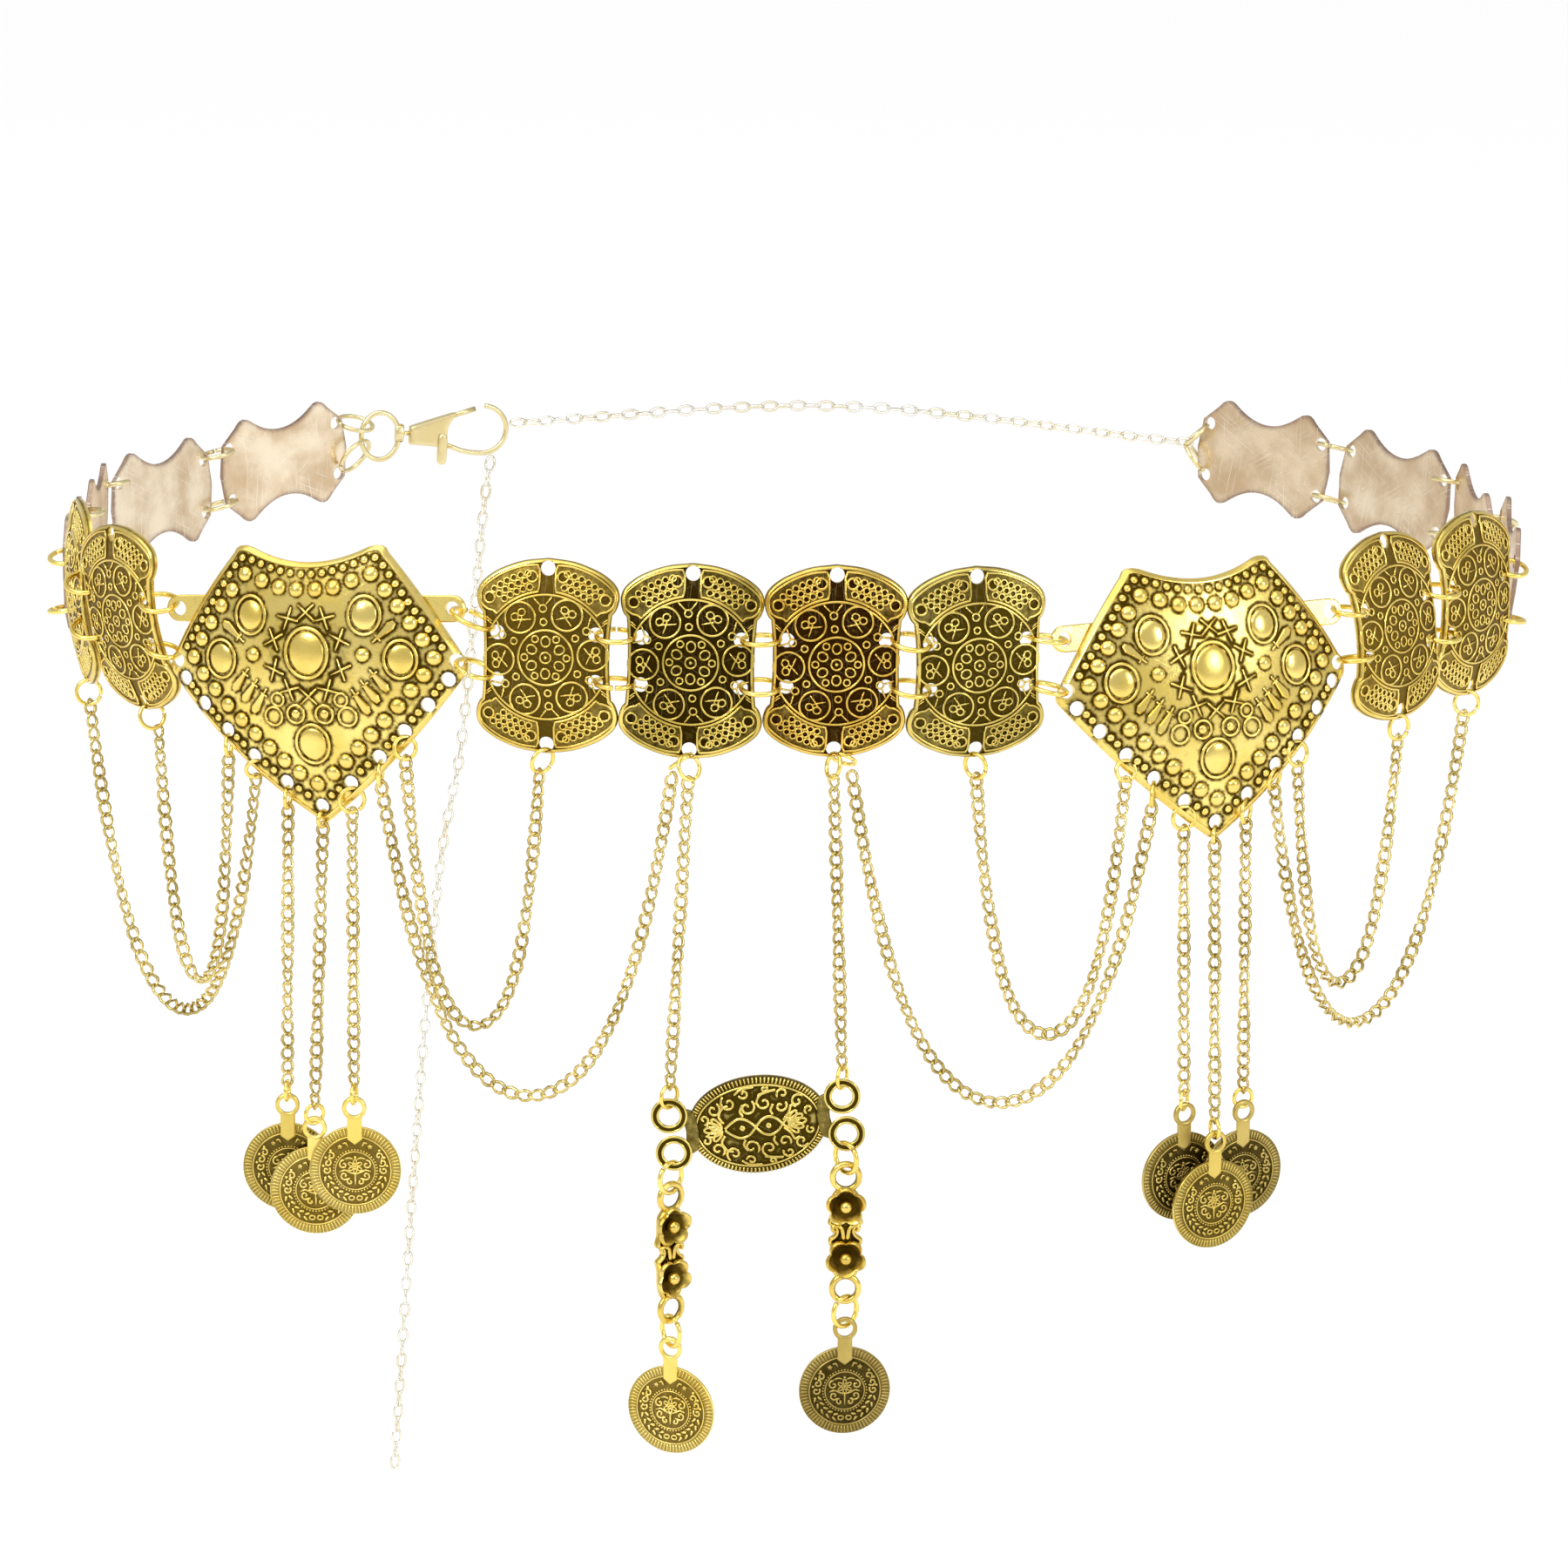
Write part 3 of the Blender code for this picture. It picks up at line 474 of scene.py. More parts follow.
def platePoint(kind, place, x, z):
    depth = thicknesses[kind] / 2
    if domes[kind]:
        depth += (x * x + z * z) / (2 * domes[kind])
    return place @ Vector((x, depth, z))


def inMetres(place):
    scaled = place.copy()
    scaled.translation = place.translation * mm
    return scaled


def edgeHoles():
    cornerX, cornerZ = pentagon["edgeHole"]
    climb = cornerZ - pentagon["tipHole"]
    length = math.hypot(cornerX, climb)
    spots = []
    for t in pentagon["edgeWays"]:
        lift = pentagon["edgeBow"] * 4 * t * (1 - t) / length
        spots.append((cornerX * t + climb * lift, pentagon["tipHole"] + climb * t - cornerX * lift))
    return [(-x, z) for x, z in reversed(spots[1:])] + spots


plates = {"r": plateFrames("r"), "l": plateFrames("l")}
edge = edgeHoles()
tipIndex = len(edge) // 2


# Chains, each along the way its solid takes

curb = {"long": 2.0, "half": 1.36, "wire": 0.44, "pitch": 3.3, "twist": 46, "radius": 1.85, "roll": 0.75}
cable = {"long": 2.35, "half": 1.3, "wire": 0.4, "pitch": 4.1, "twist": 0, "radius": 1.8, "roll": 0.35}
chainSizes = {"gap": 0.35, "roundHang": 3.1, "step": 10.5, "offset": 1.25, "apart": 0.9}
jumpRing = {"wire": 0.54, "round": 3.15, "seat": 1.35, "bite": 0.85}
swags = {  # length, drop below the pentagon's hole, swing at the plate's ring
    ("l", "side_outer"): (173, 5.3, 0.0), ("l", "side_inner"): (138, 5.9, 3.2),
    ("l", "front_outer"): (193, 6.7, -3.7), ("l", "front_inner"): (148, 6.1, -1.6),
    ("r", "side_outer"): (177, 5.8, -1.0), ("r", "side_inner"): (138, 6.6, 0.0),
    ("r", "front_outer"): (194, 6.5, 4.0), ("r", "front_inner"): (148, 5.5, 0.0),
}
ringTurns = {  # the way each jump ring faces at its two ends, 0 towards the front and 90 sideways
    "side_outer_l": (12, 4), "side_inner_l": (80, 20), "front_inner_l": (24, 38), "front_outer_l": (84, 70),
    "side_outer_r": (55, 5), "side_inner_r": (35, 35), "front_inner_r": (15, -38), "front_outer_r": (80, -30),
}


def pointCount(length):
    return math.ceil(length / chainSizes["step"]) + 1


def hanging(start, end, length):
    run = Vector((end.x - start.x, end.y - start.y, 0))
    span = run.length
    climb = end.z - start.z
    reach = math.sqrt(length * length - climb * climb)
    low, high = span / 40, span * 40
    for _ in range(80):
        middle = (low + high) / 2
        if 2 * middle * math.sinh(span / (2 * middle)) > reach:
            low = middle
        else:
            high = middle
    scale = (low + high) / 2
    bottom = span / 2 - scale * math.atanh(climb / length)
    first = math.sinh(-bottom / scale)
    count = pointCount(length) * 3  # finer than the solid, on the same curve
    points = []
    for step in range(count):
        along = bottom + scale * math.asinh(first + length * step / (count - 1) / scale)
        height = scale * (math.cosh((along - bottom) / scale) - math.cosh(bottom / scale))
        points.append(start + run * (along / span) + Vector((0, 0, height)))
    return points


def straight(start, end):
    count = pointCount((end - start).length)
    return [start.lerp(end, step / (count - 1)) for step in range(count)]


def smoothWay(knots):
    padded = [knots[0] * 2 - knots[1]] + knots + [knots[-1] * 2 - knots[-2]]
    fine = []
    for a, b, c, d in zip(padded, padded[1:], padded[2:], padded[3:]):
        for step in range(12):
            t = step / 12
            bend = (a * 2 - b * 5 + c * 4 - d) * t * t + (b * 3 - a - c * 3 + d) * t * t * t
            fine.append((b * 2 + (c - a) * t + bend) / 2)
    return fine + [knots[-1]]


def worldPoint(place):
    return Vector((place[0], place[1] - loopMiddle, place[2]))


def wayLengths(points):
    lengths = [0.0]
    for first, second in zip(points, points[1:]):
        lengths.append(lengths[-1] + (second - first).length)
    return lengths


def spotsAlong(points, pitch, trimStart, trimEnd):
    # the middle of each link and the direction there
    lengths = wayLengths(points)
    usable = lengths[-1] - trimStart - trimEnd
    count = max(2, round(usable / pitch))
    spots = []
    index = 0
    for number in range(count):
        goal = trimStart + usable * (number + 0.5) / count
        while index < len(points) - 2 and lengths[index + 1] < goal:
            index += 1
        part = (goal - lengths[index]) / (lengths[index + 1] - lengths[index])
        way = (points[index + 1] - points[index]).normalized()
        spots.append((points[index].lerp(points[index + 1], part), way))
    return spots


def chainLink(name, sizes):
    # one bent wire link, its two ends twisted against each other where the chain is a curb chain
    points = []
    for step in range(12):
        angle = math.tau * step / 12
        twist = math.radians(sizes["twist"]) * math.cos(angle)
        wide = sizes["half"] * math.sin(angle)
        points.append((sizes["long"] * math.cos(angle), wide * math.cos(twist), wide * math.sin(twist)))
    return wires(name, [(points, sizes["wire"], True)], 0)


linkShapes = {"curb": (chainLink("curbLink", curb), curb), "cable": (chainLink("cableLink", cable), cable)}


def linkedChain(points, kind, rings=(), trims=(0, 0), seed=0):
    shape, sizes = linkShapes[kind]
    chance = random.Random(seed)
    phase = chance.uniform(0, math.tau)
    wave = chance.uniform(55, 85)
    template = bmesh.new()
    template.from_mesh(shape.data)
    bm = bmesh.new()
    for number, (place, way) in enumerate(spotsAlong(points, sizes["pitch"], *trims)):
        facing = Vector((0, 1, 0)) if abs(way.y) < 0.9 else Vector((1, 0, 0))
        width = way.cross(facing).normalized()
        normal = way.cross(width)
        # curb links roll in slow waves, cable links stand square to each other
        along = number * sizes["pitch"] / wave * math.tau
        turn = sizes["roll"] * math.sin(phase + along) + chance.uniform(-0.1, 0.1)
        if kind == "cable":
            turn = sizes["roll"] * math.sin(phase + number / 7) + (math.pi / 2 if number % 2 else 0)
        side = width * math.cos(turn) + normal * math.sin(turn)
        matrix = Matrix((way, side, way.cross(side))).transposed().to_4x4()
        matrix.translation = place * mm
        made = [bm.verts.new(matrix @ vert.co) for vert in template.verts]
        for face in template.faces:
            bm.faces.new([made[vert.index] for vert in face.verts]).smooth = True
    template.free()
    chain = setRecess(meshPiece("chain", bm), 0.18)
    # cable chains take the near-white metal, part pale plating and part painted highlight
    painted(chain, "paleGoldAndHighlight" if kind == "cable" else "chainGold")
    return joined("chain", [chain, bentRings(rings)]) if rings else chain


def declareChain(node, piece):
    finished(piece, "belt", node)


def hungChain(node, points, rings, trims, seed):
    chain = linkedChain(points, "curb", rings, trims, seed)
    declareChain(node, chain)


def plateRing(kind, place, x, z, radius, turn, foot, cut=60):
    # sits on the lower edge of its hole and is pulled towards the chain's end
    top = platePoint(kind, place, x, z) - Vector((0, 0, jumpRing["seat"]))
    down = (foot - top).normalized()
    along = turned(turn)
    along = (along - down * along.dot(down)).normalized()
    return openRing(top + down * radius, along, along.cross(down), radius, jumpRing["wire"], cut)


def spotFrom(points, spot, distance):
    # the first place along a way that lies this far from a spot
    for first, second in zip(points, points[1:]):
        for step in range(8):
            place = first.lerp(second, step / 8)
            if (place - spot).length > distance:
                return place
    return points[-1]


def eyeRing(eye, above, radius, turn):
    along = turned(turn)
    centre = eye + Vector((0, 0, above + radius))
    return openRing(centre, along, along.cross(Vector((0, 0, 1))), radius, jumpRing["wire"], 100)


def hangRadius(drop):
    # of the jump ring that reaches from its hole to the chain's first link
    return (drop + jumpRing["bite"] - jumpRing["seat"]) / 2


# how far down its way a chain starts under a round plate, so that its first link holds the ring's foot
roundRoom = jumpRing["seat"] + 2 * jumpRing["round"] - jumpRing["bite"] - 0.15 - chainSizes["roundHang"]


def makeSwags():
    low = -roundPlate["endHole"]
    seat = Vector((0, 0, jumpRing["seat"]))
    for side, sign in (("l", -1), ("r", 1)):
        kind, place = plates[side][2]
        for spot, steps, plateIndex in (("front_outer", -1, 0), ("front_inner", -2, 1), ("side_inner", 2, 3),
                                        ("side_outer", 1, 4)):
            x, z = edge[tipIndex + sign * (steps + (1 if steps > 0 else -1))]
            shift = chainSizes["offset"] * (1 if spot.endswith("outer") else -1)
            length, drop, lean = swags[side, spot]
            start = platePoint(kind, place, x, z) + Vector((0, shift, -drop))
            endHole = platePoint(*plates[side][plateIndex], 0, low)
            endShift = shift + chainSizes["apart"] if spot == "front_outer" else 0.0
            points = hanging(start, endHole + Vector((lean, endShift, -chainSizes["roundHang"])), length)
            startTurn, endTurn = ringTurns[f"{spot}_{side}"]
            foot = spotFrom(points[::-1], endHole - seat, 2 * jumpRing["round"] - jumpRing["bite"])
            rings = [plateRing(kind, place, x, z, hangRadius(drop), startTurn, start),
                     plateRing(*plates[side][plateIndex], 0, low, jumpRing["round"], endTurn, foot, 20)]
            name = f"swag_{spot}_{side}"
            hungChain(name, points, rings, (0, roundRoom), len(name) * 7 + steps * 3 + sign)


coins = {"radius": 11.5, "thickness": 1.1, "drop": 16.5, "eyeOuter": 3.1, "eyeInner": 2.0, "tabHalf": 1.85,
         "tabEnd": -8.2, "tabPoint": -9.6, "tabThickness": 0.9,
         "tabRim": ((0, 0.3), (0.28, 0.04), (0.4, 0.0)), "ringAbove": 1.1, "ringRadius": 2.45}
coinEyes = {"l": ((-119.4, 16.5, -116.8, 5.8), (-112.5, 14.3, -122.2, 4.5), (-102.3, 12.1, -116.2, 6.7)),
            "r": ((106.0, 18.6, -119.1, 6.4), (113.7, 16.4, -125.8, 4.6), (121.2, 23.0, -119.8, 6.6))}
coinTurns = {"l": 0, "r": 26}
coinRingTurns = {"l": ((78, 84), (58, 30), (12, 80)), "r": ((20, 66), (75, 112), (65, 20))}


def makeCoinChains():
    above = coins["eyeOuter"] + chainSizes["gap"]
    room = (0, coins["ringAbove"] + 2 * coins["ringRadius"] - jumpRing["bite"] - above)
    for side in ("l", "r"):
        kind, place = plates[side][2]
        for index in range(3):
            x, z = edge[tipIndex - 1 + index]
            *eye, drop = coinEyes[side][index]
            eye = worldPoint(eye)
            top = platePoint(kind, place, x, z) + Vector((0, 0, -drop))
            points = straight(top, eye + Vector((0, 0, above)))
            topTurn, lowTurn = coinRingTurns[side][index]
            rings = [plateRing(kind, place, x, z, hangRadius(drop), topTurn, top),
                     eyeRing(eye, coins["ringAbove"], coins["ringRadius"], lowTurn)]
            hungChain(f"drop_{side}{index + 1}", points, rings, room, 30 + index)


ovalLink = {"place": (-1.1, -1.0, -116.2), "tilt": -7, "half": (17.4, 12.5), "dome": 50.0, "thickness": 2.0,
            "eye": (21.6, 4.9), "eyeRadius": 3.5, "eyeWire": 0.72, "eyeDepth": 0.9, "ringRadius": 2.9,
            "ringSeat": 0.75, "clear": 0.1}
ovalFrame = Matrix.Translation(worldPoint(ovalLink["place"])) @ Matrix.Rotation(math.radians(ovalLink["tilt"]), 4, "Y")


def ovalEye(sign, height):
    # the middle of one of the oval link's four eyes
    return ovalFrame @ Vector((sign * ovalLink["eye"][0], ovalLink["eyeDepth"], height * ovalLink["eye"][1]))


def makeCentreChains():
    low = -roundPlate["endHole"]
    shift = Vector((0, -chainSizes["offset"] - chainSizes["apart"], -chainSizes["roundHang"]))
    above = ovalLink["eyeRadius"] + ovalLink["eyeWire"] + chainSizes["gap"] + ovalLink["clear"]
    seat = ovalLink["eyeRadius"] - ovalLink["eyeWire"] - ovalLink["ringSeat"]
    room = (roundRoom, seat + 2 * ovalLink["ringRadius"] - jumpRing["bite"] - above)
    for side, sign, topTurn, lowTurn in (("l", -1, 40, 48), ("r", 1, -62, 66)):
        kind, place = plates[side][0]
        top = platePoint(kind, place, 0, low) + shift
        eye = ovalEye(sign, 1)
        points = straight(top, eye + Vector((0, 0, above)))
        rings = [plateRing(kind, place, 0, low, jumpRing["round"], topTurn, top - Vector((0, 0, 2))),
                 eyeRing(eye, seat, ovalLink["ringRadius"], lowTurn)]
        hungChain(f"drop_centre_{side}", points, rings, room, 50 + sign)


backEnds = ((-75.1, 283.0, 5.9), (122.6, 264.9, 4.2))
backBow = (20.0, 291.0, 9.8)
tailPath = ((-80.9, 280.0, -3.6), (-83.5, 277.3, -22.4), (-90.2, 276, -88.1), (-97.2, 276, -128.2),
            (-105.2, 276, -209.8), (-113.3, 276, -317.7))


def makeBackChains():
    for node, places, farEnd, lay, seed in (
            ("back_chain", (backEnds[0], backBow, backEnds[1]), "object", "taut", 71),
            ("tail_chain", tailPath, "bare", "hanging", 72)):
        way = smoothWay([worldPoint(place) for place in places])
        declareChain(node, linkedChain(way, "cable", seed=seed))


makeSwags()
makeCoinChains()
makeCentreChains()
makeBackChains()
for shape, _ in linkShapes.values():
    bpy.data.objects.remove(shape)
print("chains linked")


# Cast plates

flatScale = 50 * mm  # one unit of the flat map that the scratches read


def bowed(start, end, rise, steps):
    # the points between two ends of a shallow curve
    length = math.dist(start, end)
    side = ((end[1] - start[1]) / length, -(end[0] - start[0]) / length)
    points = []
    for step in range(1, steps):
        part = step / steps
        lift = rise * 4 * part * (1 - part)
        x, z = between(start, end, part)
        points.append((x + side[0] * lift, z + side[1] * lift))
    return points


def mirrored(points):
    return [(-x, z) for x, z in reversed(points)]


def roundOutline():
    right = smoothLine(roundPlate["lobe"], 4)
    top = right + mirrored(right[:-1])
    shoulder = (-roundPlate["lobe"][0][0], roundPlate["lobe"][0][1])
    side = bowed(shoulder, (shoulder[0], -shoulder[1]), -(-shoulder[0] - roundPlate["waist"]), 16)
    left = side[1:-1]
    return top + left + [(-x, -z) for x, z in top] + [(-x, -z) for x, z in left]


def pentagonOutline():
    topX, topZ = pentagon["top"]
    sideX, sideZ = pentagon["side"]
    turn = pentagon["round"]
    peak = [(topX + 1.5, topZ - 1.9), (topX + 0.9, topZ - 0.8), (topX - 0.2, topZ - 0.15), (topX - 1.7, topZ - 0.05),
            (topX - 3.4, topZ - 0.45)]
    top = peak + bowed(peak[-1], mirrored(peak)[0], pentagon["dip"] - peak[-1][1], 24) + mirrored(peak)
    leftCorner = arc((-sideX + turn, sideZ), turn, 150, 225, 8)
    tip = arc((0, pentagon["tip"] + turn), turn, 232, 308, 8)
    rightCorner = arc((sideX - turn, sideZ), turn, -45, 30, 8)
    shoulder = bowed(rightCorner[-1], top[0], pentagon["shoulderBow"], 12)
    leftEdge = bowed(leftCorner[-1], tip[0], pentagon["edgeBow"], 20)
    rightEdge = bowed(tip[-1], rightCorner[0], pentagon["edgeBow"], 20)
    return top + mirrored(shoulder) + leftCorner + leftEdge + tip + rightEdge + rightCorner + shoulder


def backOutline():
    peakX, peakZ = backPlate["peak"]
    cornerX, cornerZ = backPlate["corner"]
    peak = [(peakX + 2.7, peakZ - 2.5), (peakX + 1.6, peakZ - 1.3), (peakX + 0.6, peakZ - 0.6),
            (peakX - 0.6, peakZ - 0.4), (peakX - 1.8, peakZ - 0.7), (peakX - 3.0, peakZ - 1.5)]
    dip = bowed(peak[-1], (-peak[-1][0], peak[-1][1]), -(peak[-1][1] - backPlate["dip"]), 16)
    top = peak + dip + mirrored(peak)
    left = [(-cornerX, cornerZ), (-backPlate["side"], 0), (-cornerX, -cornerZ)]
    return top + left + [(-x, -z) for x, z in top] + [(-x, -z) for x, z in left]


def smoothCorners(points):
    # each corner cut twice, as a file would leave it
    for _ in range(2):
        cut = []
        for first, second in edgesOf(points):
            cut += [between(first, second, part) for part in (0.2, 0.8)]
        points = cut
    area = sum(x1 * z2 - x2 * z1 for (x1, z1), (x2, z2) in edgesOf(points))
    return points if area > 0 else points[::-1]


def insetLoop(loop, distance):
    made = []
    count = len(loop)
    for index, (x, z) in enumerate(loop):
        before, after = loop[index - 1], loop[(index + 1) % count]
        first = Vector((x - before[0], z - before[1])).normalized()
        second = Vector((after[0] - x, after[1] - z)).normalized()
        mean = (Vector((-first.y, first.x)) + Vector((-second.y, second.x))) / 2
        mean *= min(1 / max(mean.length_squared, 0.2), 1.8) * distance
        made.append((x + mean.x, z + mean.y))
    return made


def isInside(x, z, loop):
    hit = False
    for (x1, z1), (x2, z2) in edgesOf(loop):
        if (z1 > z) != (z2 > z) and x < x1 + (x2 - x1) * (z - z1) / (z2 - z1):
            hit = not hit
    return hit


def filledLoops(loops, holes, spacing, extra=()):
    # corners and triangles of a flat sheet, the first loop being its edge
    points = []
    edges = []
    for loop in loops + holes:
        first = len(points)
        edges += [(first + i, first + (i + 1) % len(loop)) for i in range(len(loop))]
        points += loop
    points += extra
    taken = pointTree(points)
    inner = loops[-1]
    low, high = min(z for x, z in inner), max(z for x, z in inner)
    wide = int(max(x for x, z in inner) / spacing)
    rowStep = spacing * math.sin(math.radians(60))
    for row in range(int((high - low) / rowStep) + 1):
        z = low + row * rowStep
        for column in range(-wide - 1, wide + 2):
            x = (column + 0.5 * (row % 2)) * spacing
            if taken.find((x, z, 0))[2] > spacing * 0.55 and isInside(x, z, inner):
                points.append((x, z))
    verts, _, faces = delaunay_2d_cdt([Vector(point) for point in points], edges, [], 1, 0.0001)[:3]
    middles = [(sum(x for x, z in hole) / len(hole), sum(z for x, z in hole) / len(hole)) for hole in holes]
    kept = []
    for face in faces:
        x = sum(verts[i].x for i in face) / len(face)
        z = sum(verts[i].y for i in face) / len(face)
        if not any(math.hypot(x - mx, z - mz) < 3 and isInside(x, z, hole) for (mx, mz), hole in zip(middles, holes)):
            kept.append(face)
    return verts, kept


def valueAt(rule, x, z):
    # a fixed value, or one worked out for each place
    return rule(x, z) if callable(rule) else rule


def castBody(name, outline, holes, steps, thickness, spacing, ground=0.0, dark=0.0, backSpacing=4.0, extra=()):
    # steps are the inset and depth of each rim loop, ground and dark the depth and the patina inside them
    loops = [insetLoop(outline, inset) if inset else outline for inset, depth in steps]
    verts, faces = filledLoops(loops, holes, spacing, extra)
    known = pointTree([point for loop in loops for point in loop])
    depths = [depth for loop, (inset, depth) in zip(loops, steps) for _ in loop]
    bm = bmesh.new()
    recess = bm.verts.layers.float.new("recess")
    front = []
    for vert in verts:
        spot, index, distance = known.find((vert.x, vert.y, 0))
        onLoop = distance < 0.001
        depth = depths[index] if onLoop else valueAt(ground, vert.x, vert.y)
        corner = bm.verts.new((vert.x * mm, depth * mm, vert.y * mm))
        corner[recess] = 0.0 if onLoop and depth < steps[-1][1] - 0.01 else valueAt(dark, vert.x, vert.y)
        front.append(corner)
    for face in faces:
        bm.faces.new([front[i] for i in face])
    backVerts, backFaces = filledLoops([outline], holes, backSpacing)
    back = []
    for vert in backVerts:
        corner = bm.verts.new((vert.x * mm, thickness * mm, vert.y * mm))
        corner[recess] = -0.1
        back.append(corner)
    for face in backFaces:
        bm.faces.new([back[i] for i in reversed(face)])
    frontTree, backTree = pointTree(verts), pointTree(backVerts)
    for loop in [outline] + holes:
        bridged(bm, [[front[frontTree.find((x, z, 0))[1]] for x, z in loop],
                     [back[backTree.find((x, z, 0))[1]] for x, z in loop]])
    bmesh.ops.delete(bm, geom=[vert for vert in bm.verts if not vert.link_faces], context="VERTS")
    bmesh.ops.recalc_face_normals(bm, faces=bm.faces)
    flat = bm.loops.layers.uv.new("flat")
    for face in bm.faces:
        for corner in face.loops:
            corner[flat].uv = (corner.vert.co.x / flatScale, corner.vert.co.z / flatScale)
    return smoothed(meshPiece(name, bm), 32)


beadSteps = ((0.7, 10, 6), (1.2, 14, 8), (2.5, 20, 12), (math.inf, 36, 16))  # up to a radius: segments and rings
bladeShape = ((0.0, 0.5), (0.18, 1.15), (0.78, 0.45))  # the part of the length and the half width there


def bladePoints(head, foot, shrink=0.0):
    # the six corners round a flat blade
    way = Vector(foot) - Vector(head)
    side = Vector((-way.y, way.x)).normalized()
    points = []
    for part, half in bladeShape + tuple((part, -half) for part, half in reversed(bladeShape)):
        part += (0.34 - part) * shrink * 0.4
        points.append(Vector(head) + way * part + side * half * (1 - shrink))
    return points


class Relief:
    # what stands on a plate's ground: lines, beads and blades, all in the plate's own plane
    def __init__(self, ground):
        self.ground = ground
        self.lines = []
        self.beads = []
        self.blades = []
        self.feet = []

    def line(self, points, radius, closed=False, lift=0.12):
        self.lines.append((atDepth(points, self.ground - lift), radius, closed))
        path = points + points[:1] if closed else points
        for first, second in zip(path, path[1:]):
            count = max(1, int(math.dist(first, second) / 0.4))
            self.feet += [(*between(first, second, step / count), radius) for step in range(count)]

    def ring(self, x, z, radius, wire, ratio=1.0, turn=0, lift=0.12):
        steps = max(10, int(radius * 5.5) + 8)
        self.line(oval(x, z, radius, radius * ratio, steps, turn), wire, True, lift)

    def bead(self, x, z, radius, height=0.8, ratio=1.0):
        self.beads.append((x, z, radius, height, ratio))
        self.feet += [(u, v, 0.15) for u, v in oval(x, z, radius * 0.9, radius * ratio * 0.9, 14)]

    def darkness(self, fade, strength, plain):
        # ground near the foot of the relief keeps more of its patina than the plain ground
        feet = self.feet
        tree = pointTree([(x, z) for x, z, radius in feet])

        def dark(x, z):
            spot, index, distance = tree.find((x, z, 0))
            near = 1 - clamped((distance - feet[index][2]) / fade)
            return min(1.0, plain + strength * near * near * (3 - 2 * near))
        return dark

    def shaded(self, piece, crest, run):
        # darker down the flanks
        return recessBy(piece, lambda x, y, z: clamped((y - self.ground + crest) / run, 0.9))

    def pieces(self, name, roundness=1):
        made = []
        if self.lines:
            made.append(self.shaded(wires(name + "Lines", self.lines, roundness), 0.22, 0.3))
        if self.beads:
            made.append(self.shaded(self.beadMesh(name + "Beads"), 0.18, 0.25))
        if self.blades:
            made.append(setRecess(self.bladeMesh(name + "Blades"), 0.0))
        return made

    def bladeMesh(self, name):
        bm = bmesh.new()
        for head, foot in self.blades:
            loops = []
            for lift, shrink in ((-0.1, 0.0), (0.45, 0.0), (0.8, 0.3)):
                spots = atDepth(bladePoints(head, foot, shrink), self.ground - lift)
                loops.append([bm.verts.new(spot * mm) for spot in spots])
            bridged(bm, loops)
            bm.faces.new(loops[-1])
            bm.faces.new(loops[0][::-1])
        bmesh.ops.recalc_face_normals(bm, faces=bm.faces)
        return smoothed(meshPiece(name, bm), 20)

    def beadMesh(self, name):
        bpy.ops.object.select_all(action="DESELECT")
        bpy.ops.mesh.primitive_plane_add(size=mm)
        made = bpy.context.object
        made.name = name
        bpy.ops.object.mode_set(mode="EDIT")
        bpy.ops.mesh.select_all(action="SELECT")
        bpy.ops.mesh.delete(type="VERT")  # the beads take the plane's place
        for x, z, radius, height, ratio in self.beads:
            segments, rings = next(row[1:] for row in beadSteps if radius < row[0])
            place = Vector((x, self.ground, z)) * mm
            bpy.ops.mesh.primitive_uv_sphere_add(segments=segments, ring_count=rings, radius=radius * mm,
                                                 location=place, rotation=(math.pi / 2, 0, 0))
            bpy.ops.transform.resize(value=(1, height / radius, ratio), center_override=place)
        bpy.ops.object.mode_set(mode="OBJECT")
        bpy.ops.object.shade_smooth()
        return made


def domed(piece, dome):
    # presses a flat piece onto the plate's curved face
    for vert in piece.data.vertices:
        vert.co.y += (vert.co.x ** 2 + vert.co.z ** 2) / (2 * dome * mm)
    piece.data.update()
    return piece


def holeLoops(spots):
    return [circle(x, z, link["hole"], 22) for x, z in spots]


def fourCorners(spot):
    return [(x, z) for x in (-spot[0], spot[0]) for z in (-spot[1], spot[1])]


roundRelief = {
    "ground": 0.42, "spacing": 0.38, "rim": ((0, 0.55), (0.3, 0.08), (0.45, 0.0), (0.8, 0.0), (0.95, 0.42)),
    "line": 0.32, "thin": 0.26, "signs": 0.24, "great": 15.3,
    "hub": (6.75, 1.35, 0.5),  # the middle's outer ring, inner ring and bead
    "turn": 4,  # degrees that the six circles stand past the level
    "circle": (11.6, 3.75), "petal": (3.95, 1.28, 0.86),  # reach, radius and how flat
    "dots": ((5.2, 0, 0.82), (8.75, 34, 0.82), (12.0, 34, 0.9)),  # reach, turn and radius of the small rings
    "stem": (12.95, 14.9, 9),  # from and to, and how far its head leans
    "panelTop": 0.3, "pit": 0.62, "ringPit": 1.05, "slope": 0.09, "endRings": ((3.8, 19.6), (14.3, 14.2)),
    "pitRows": ((17.55, 104, 131.5, 5.7), (19.25, 106.5, 129, 5.4), (20.9, 103.5, 130, 5.1)),  # reach, from, to, step
    "panel": ((2.5, 22.4), (6.2, 22.0), (10.7, 20.4), (14.2, 18.2), (16.2, 16.2), (16.6, 14.3), (16.1, 12.6),
              (14.8, 11.5), (13.2, 11.1)),
    "flare": ((1.95, 17.4), (1.95, 19.2), (2.0, 21.2)),
    "patina": (0.9, 0.28, 0.76), "pitPatina": (0.64, 0.36),
}


def smoothLine(corners, steps=5):
    # a flat curve through its corners
    way = smoothWay([Vector((x, z, 0)) for x, z in corners])
    return [(point.x, point.y) for point in way[::max(1, 12 // steps)]]


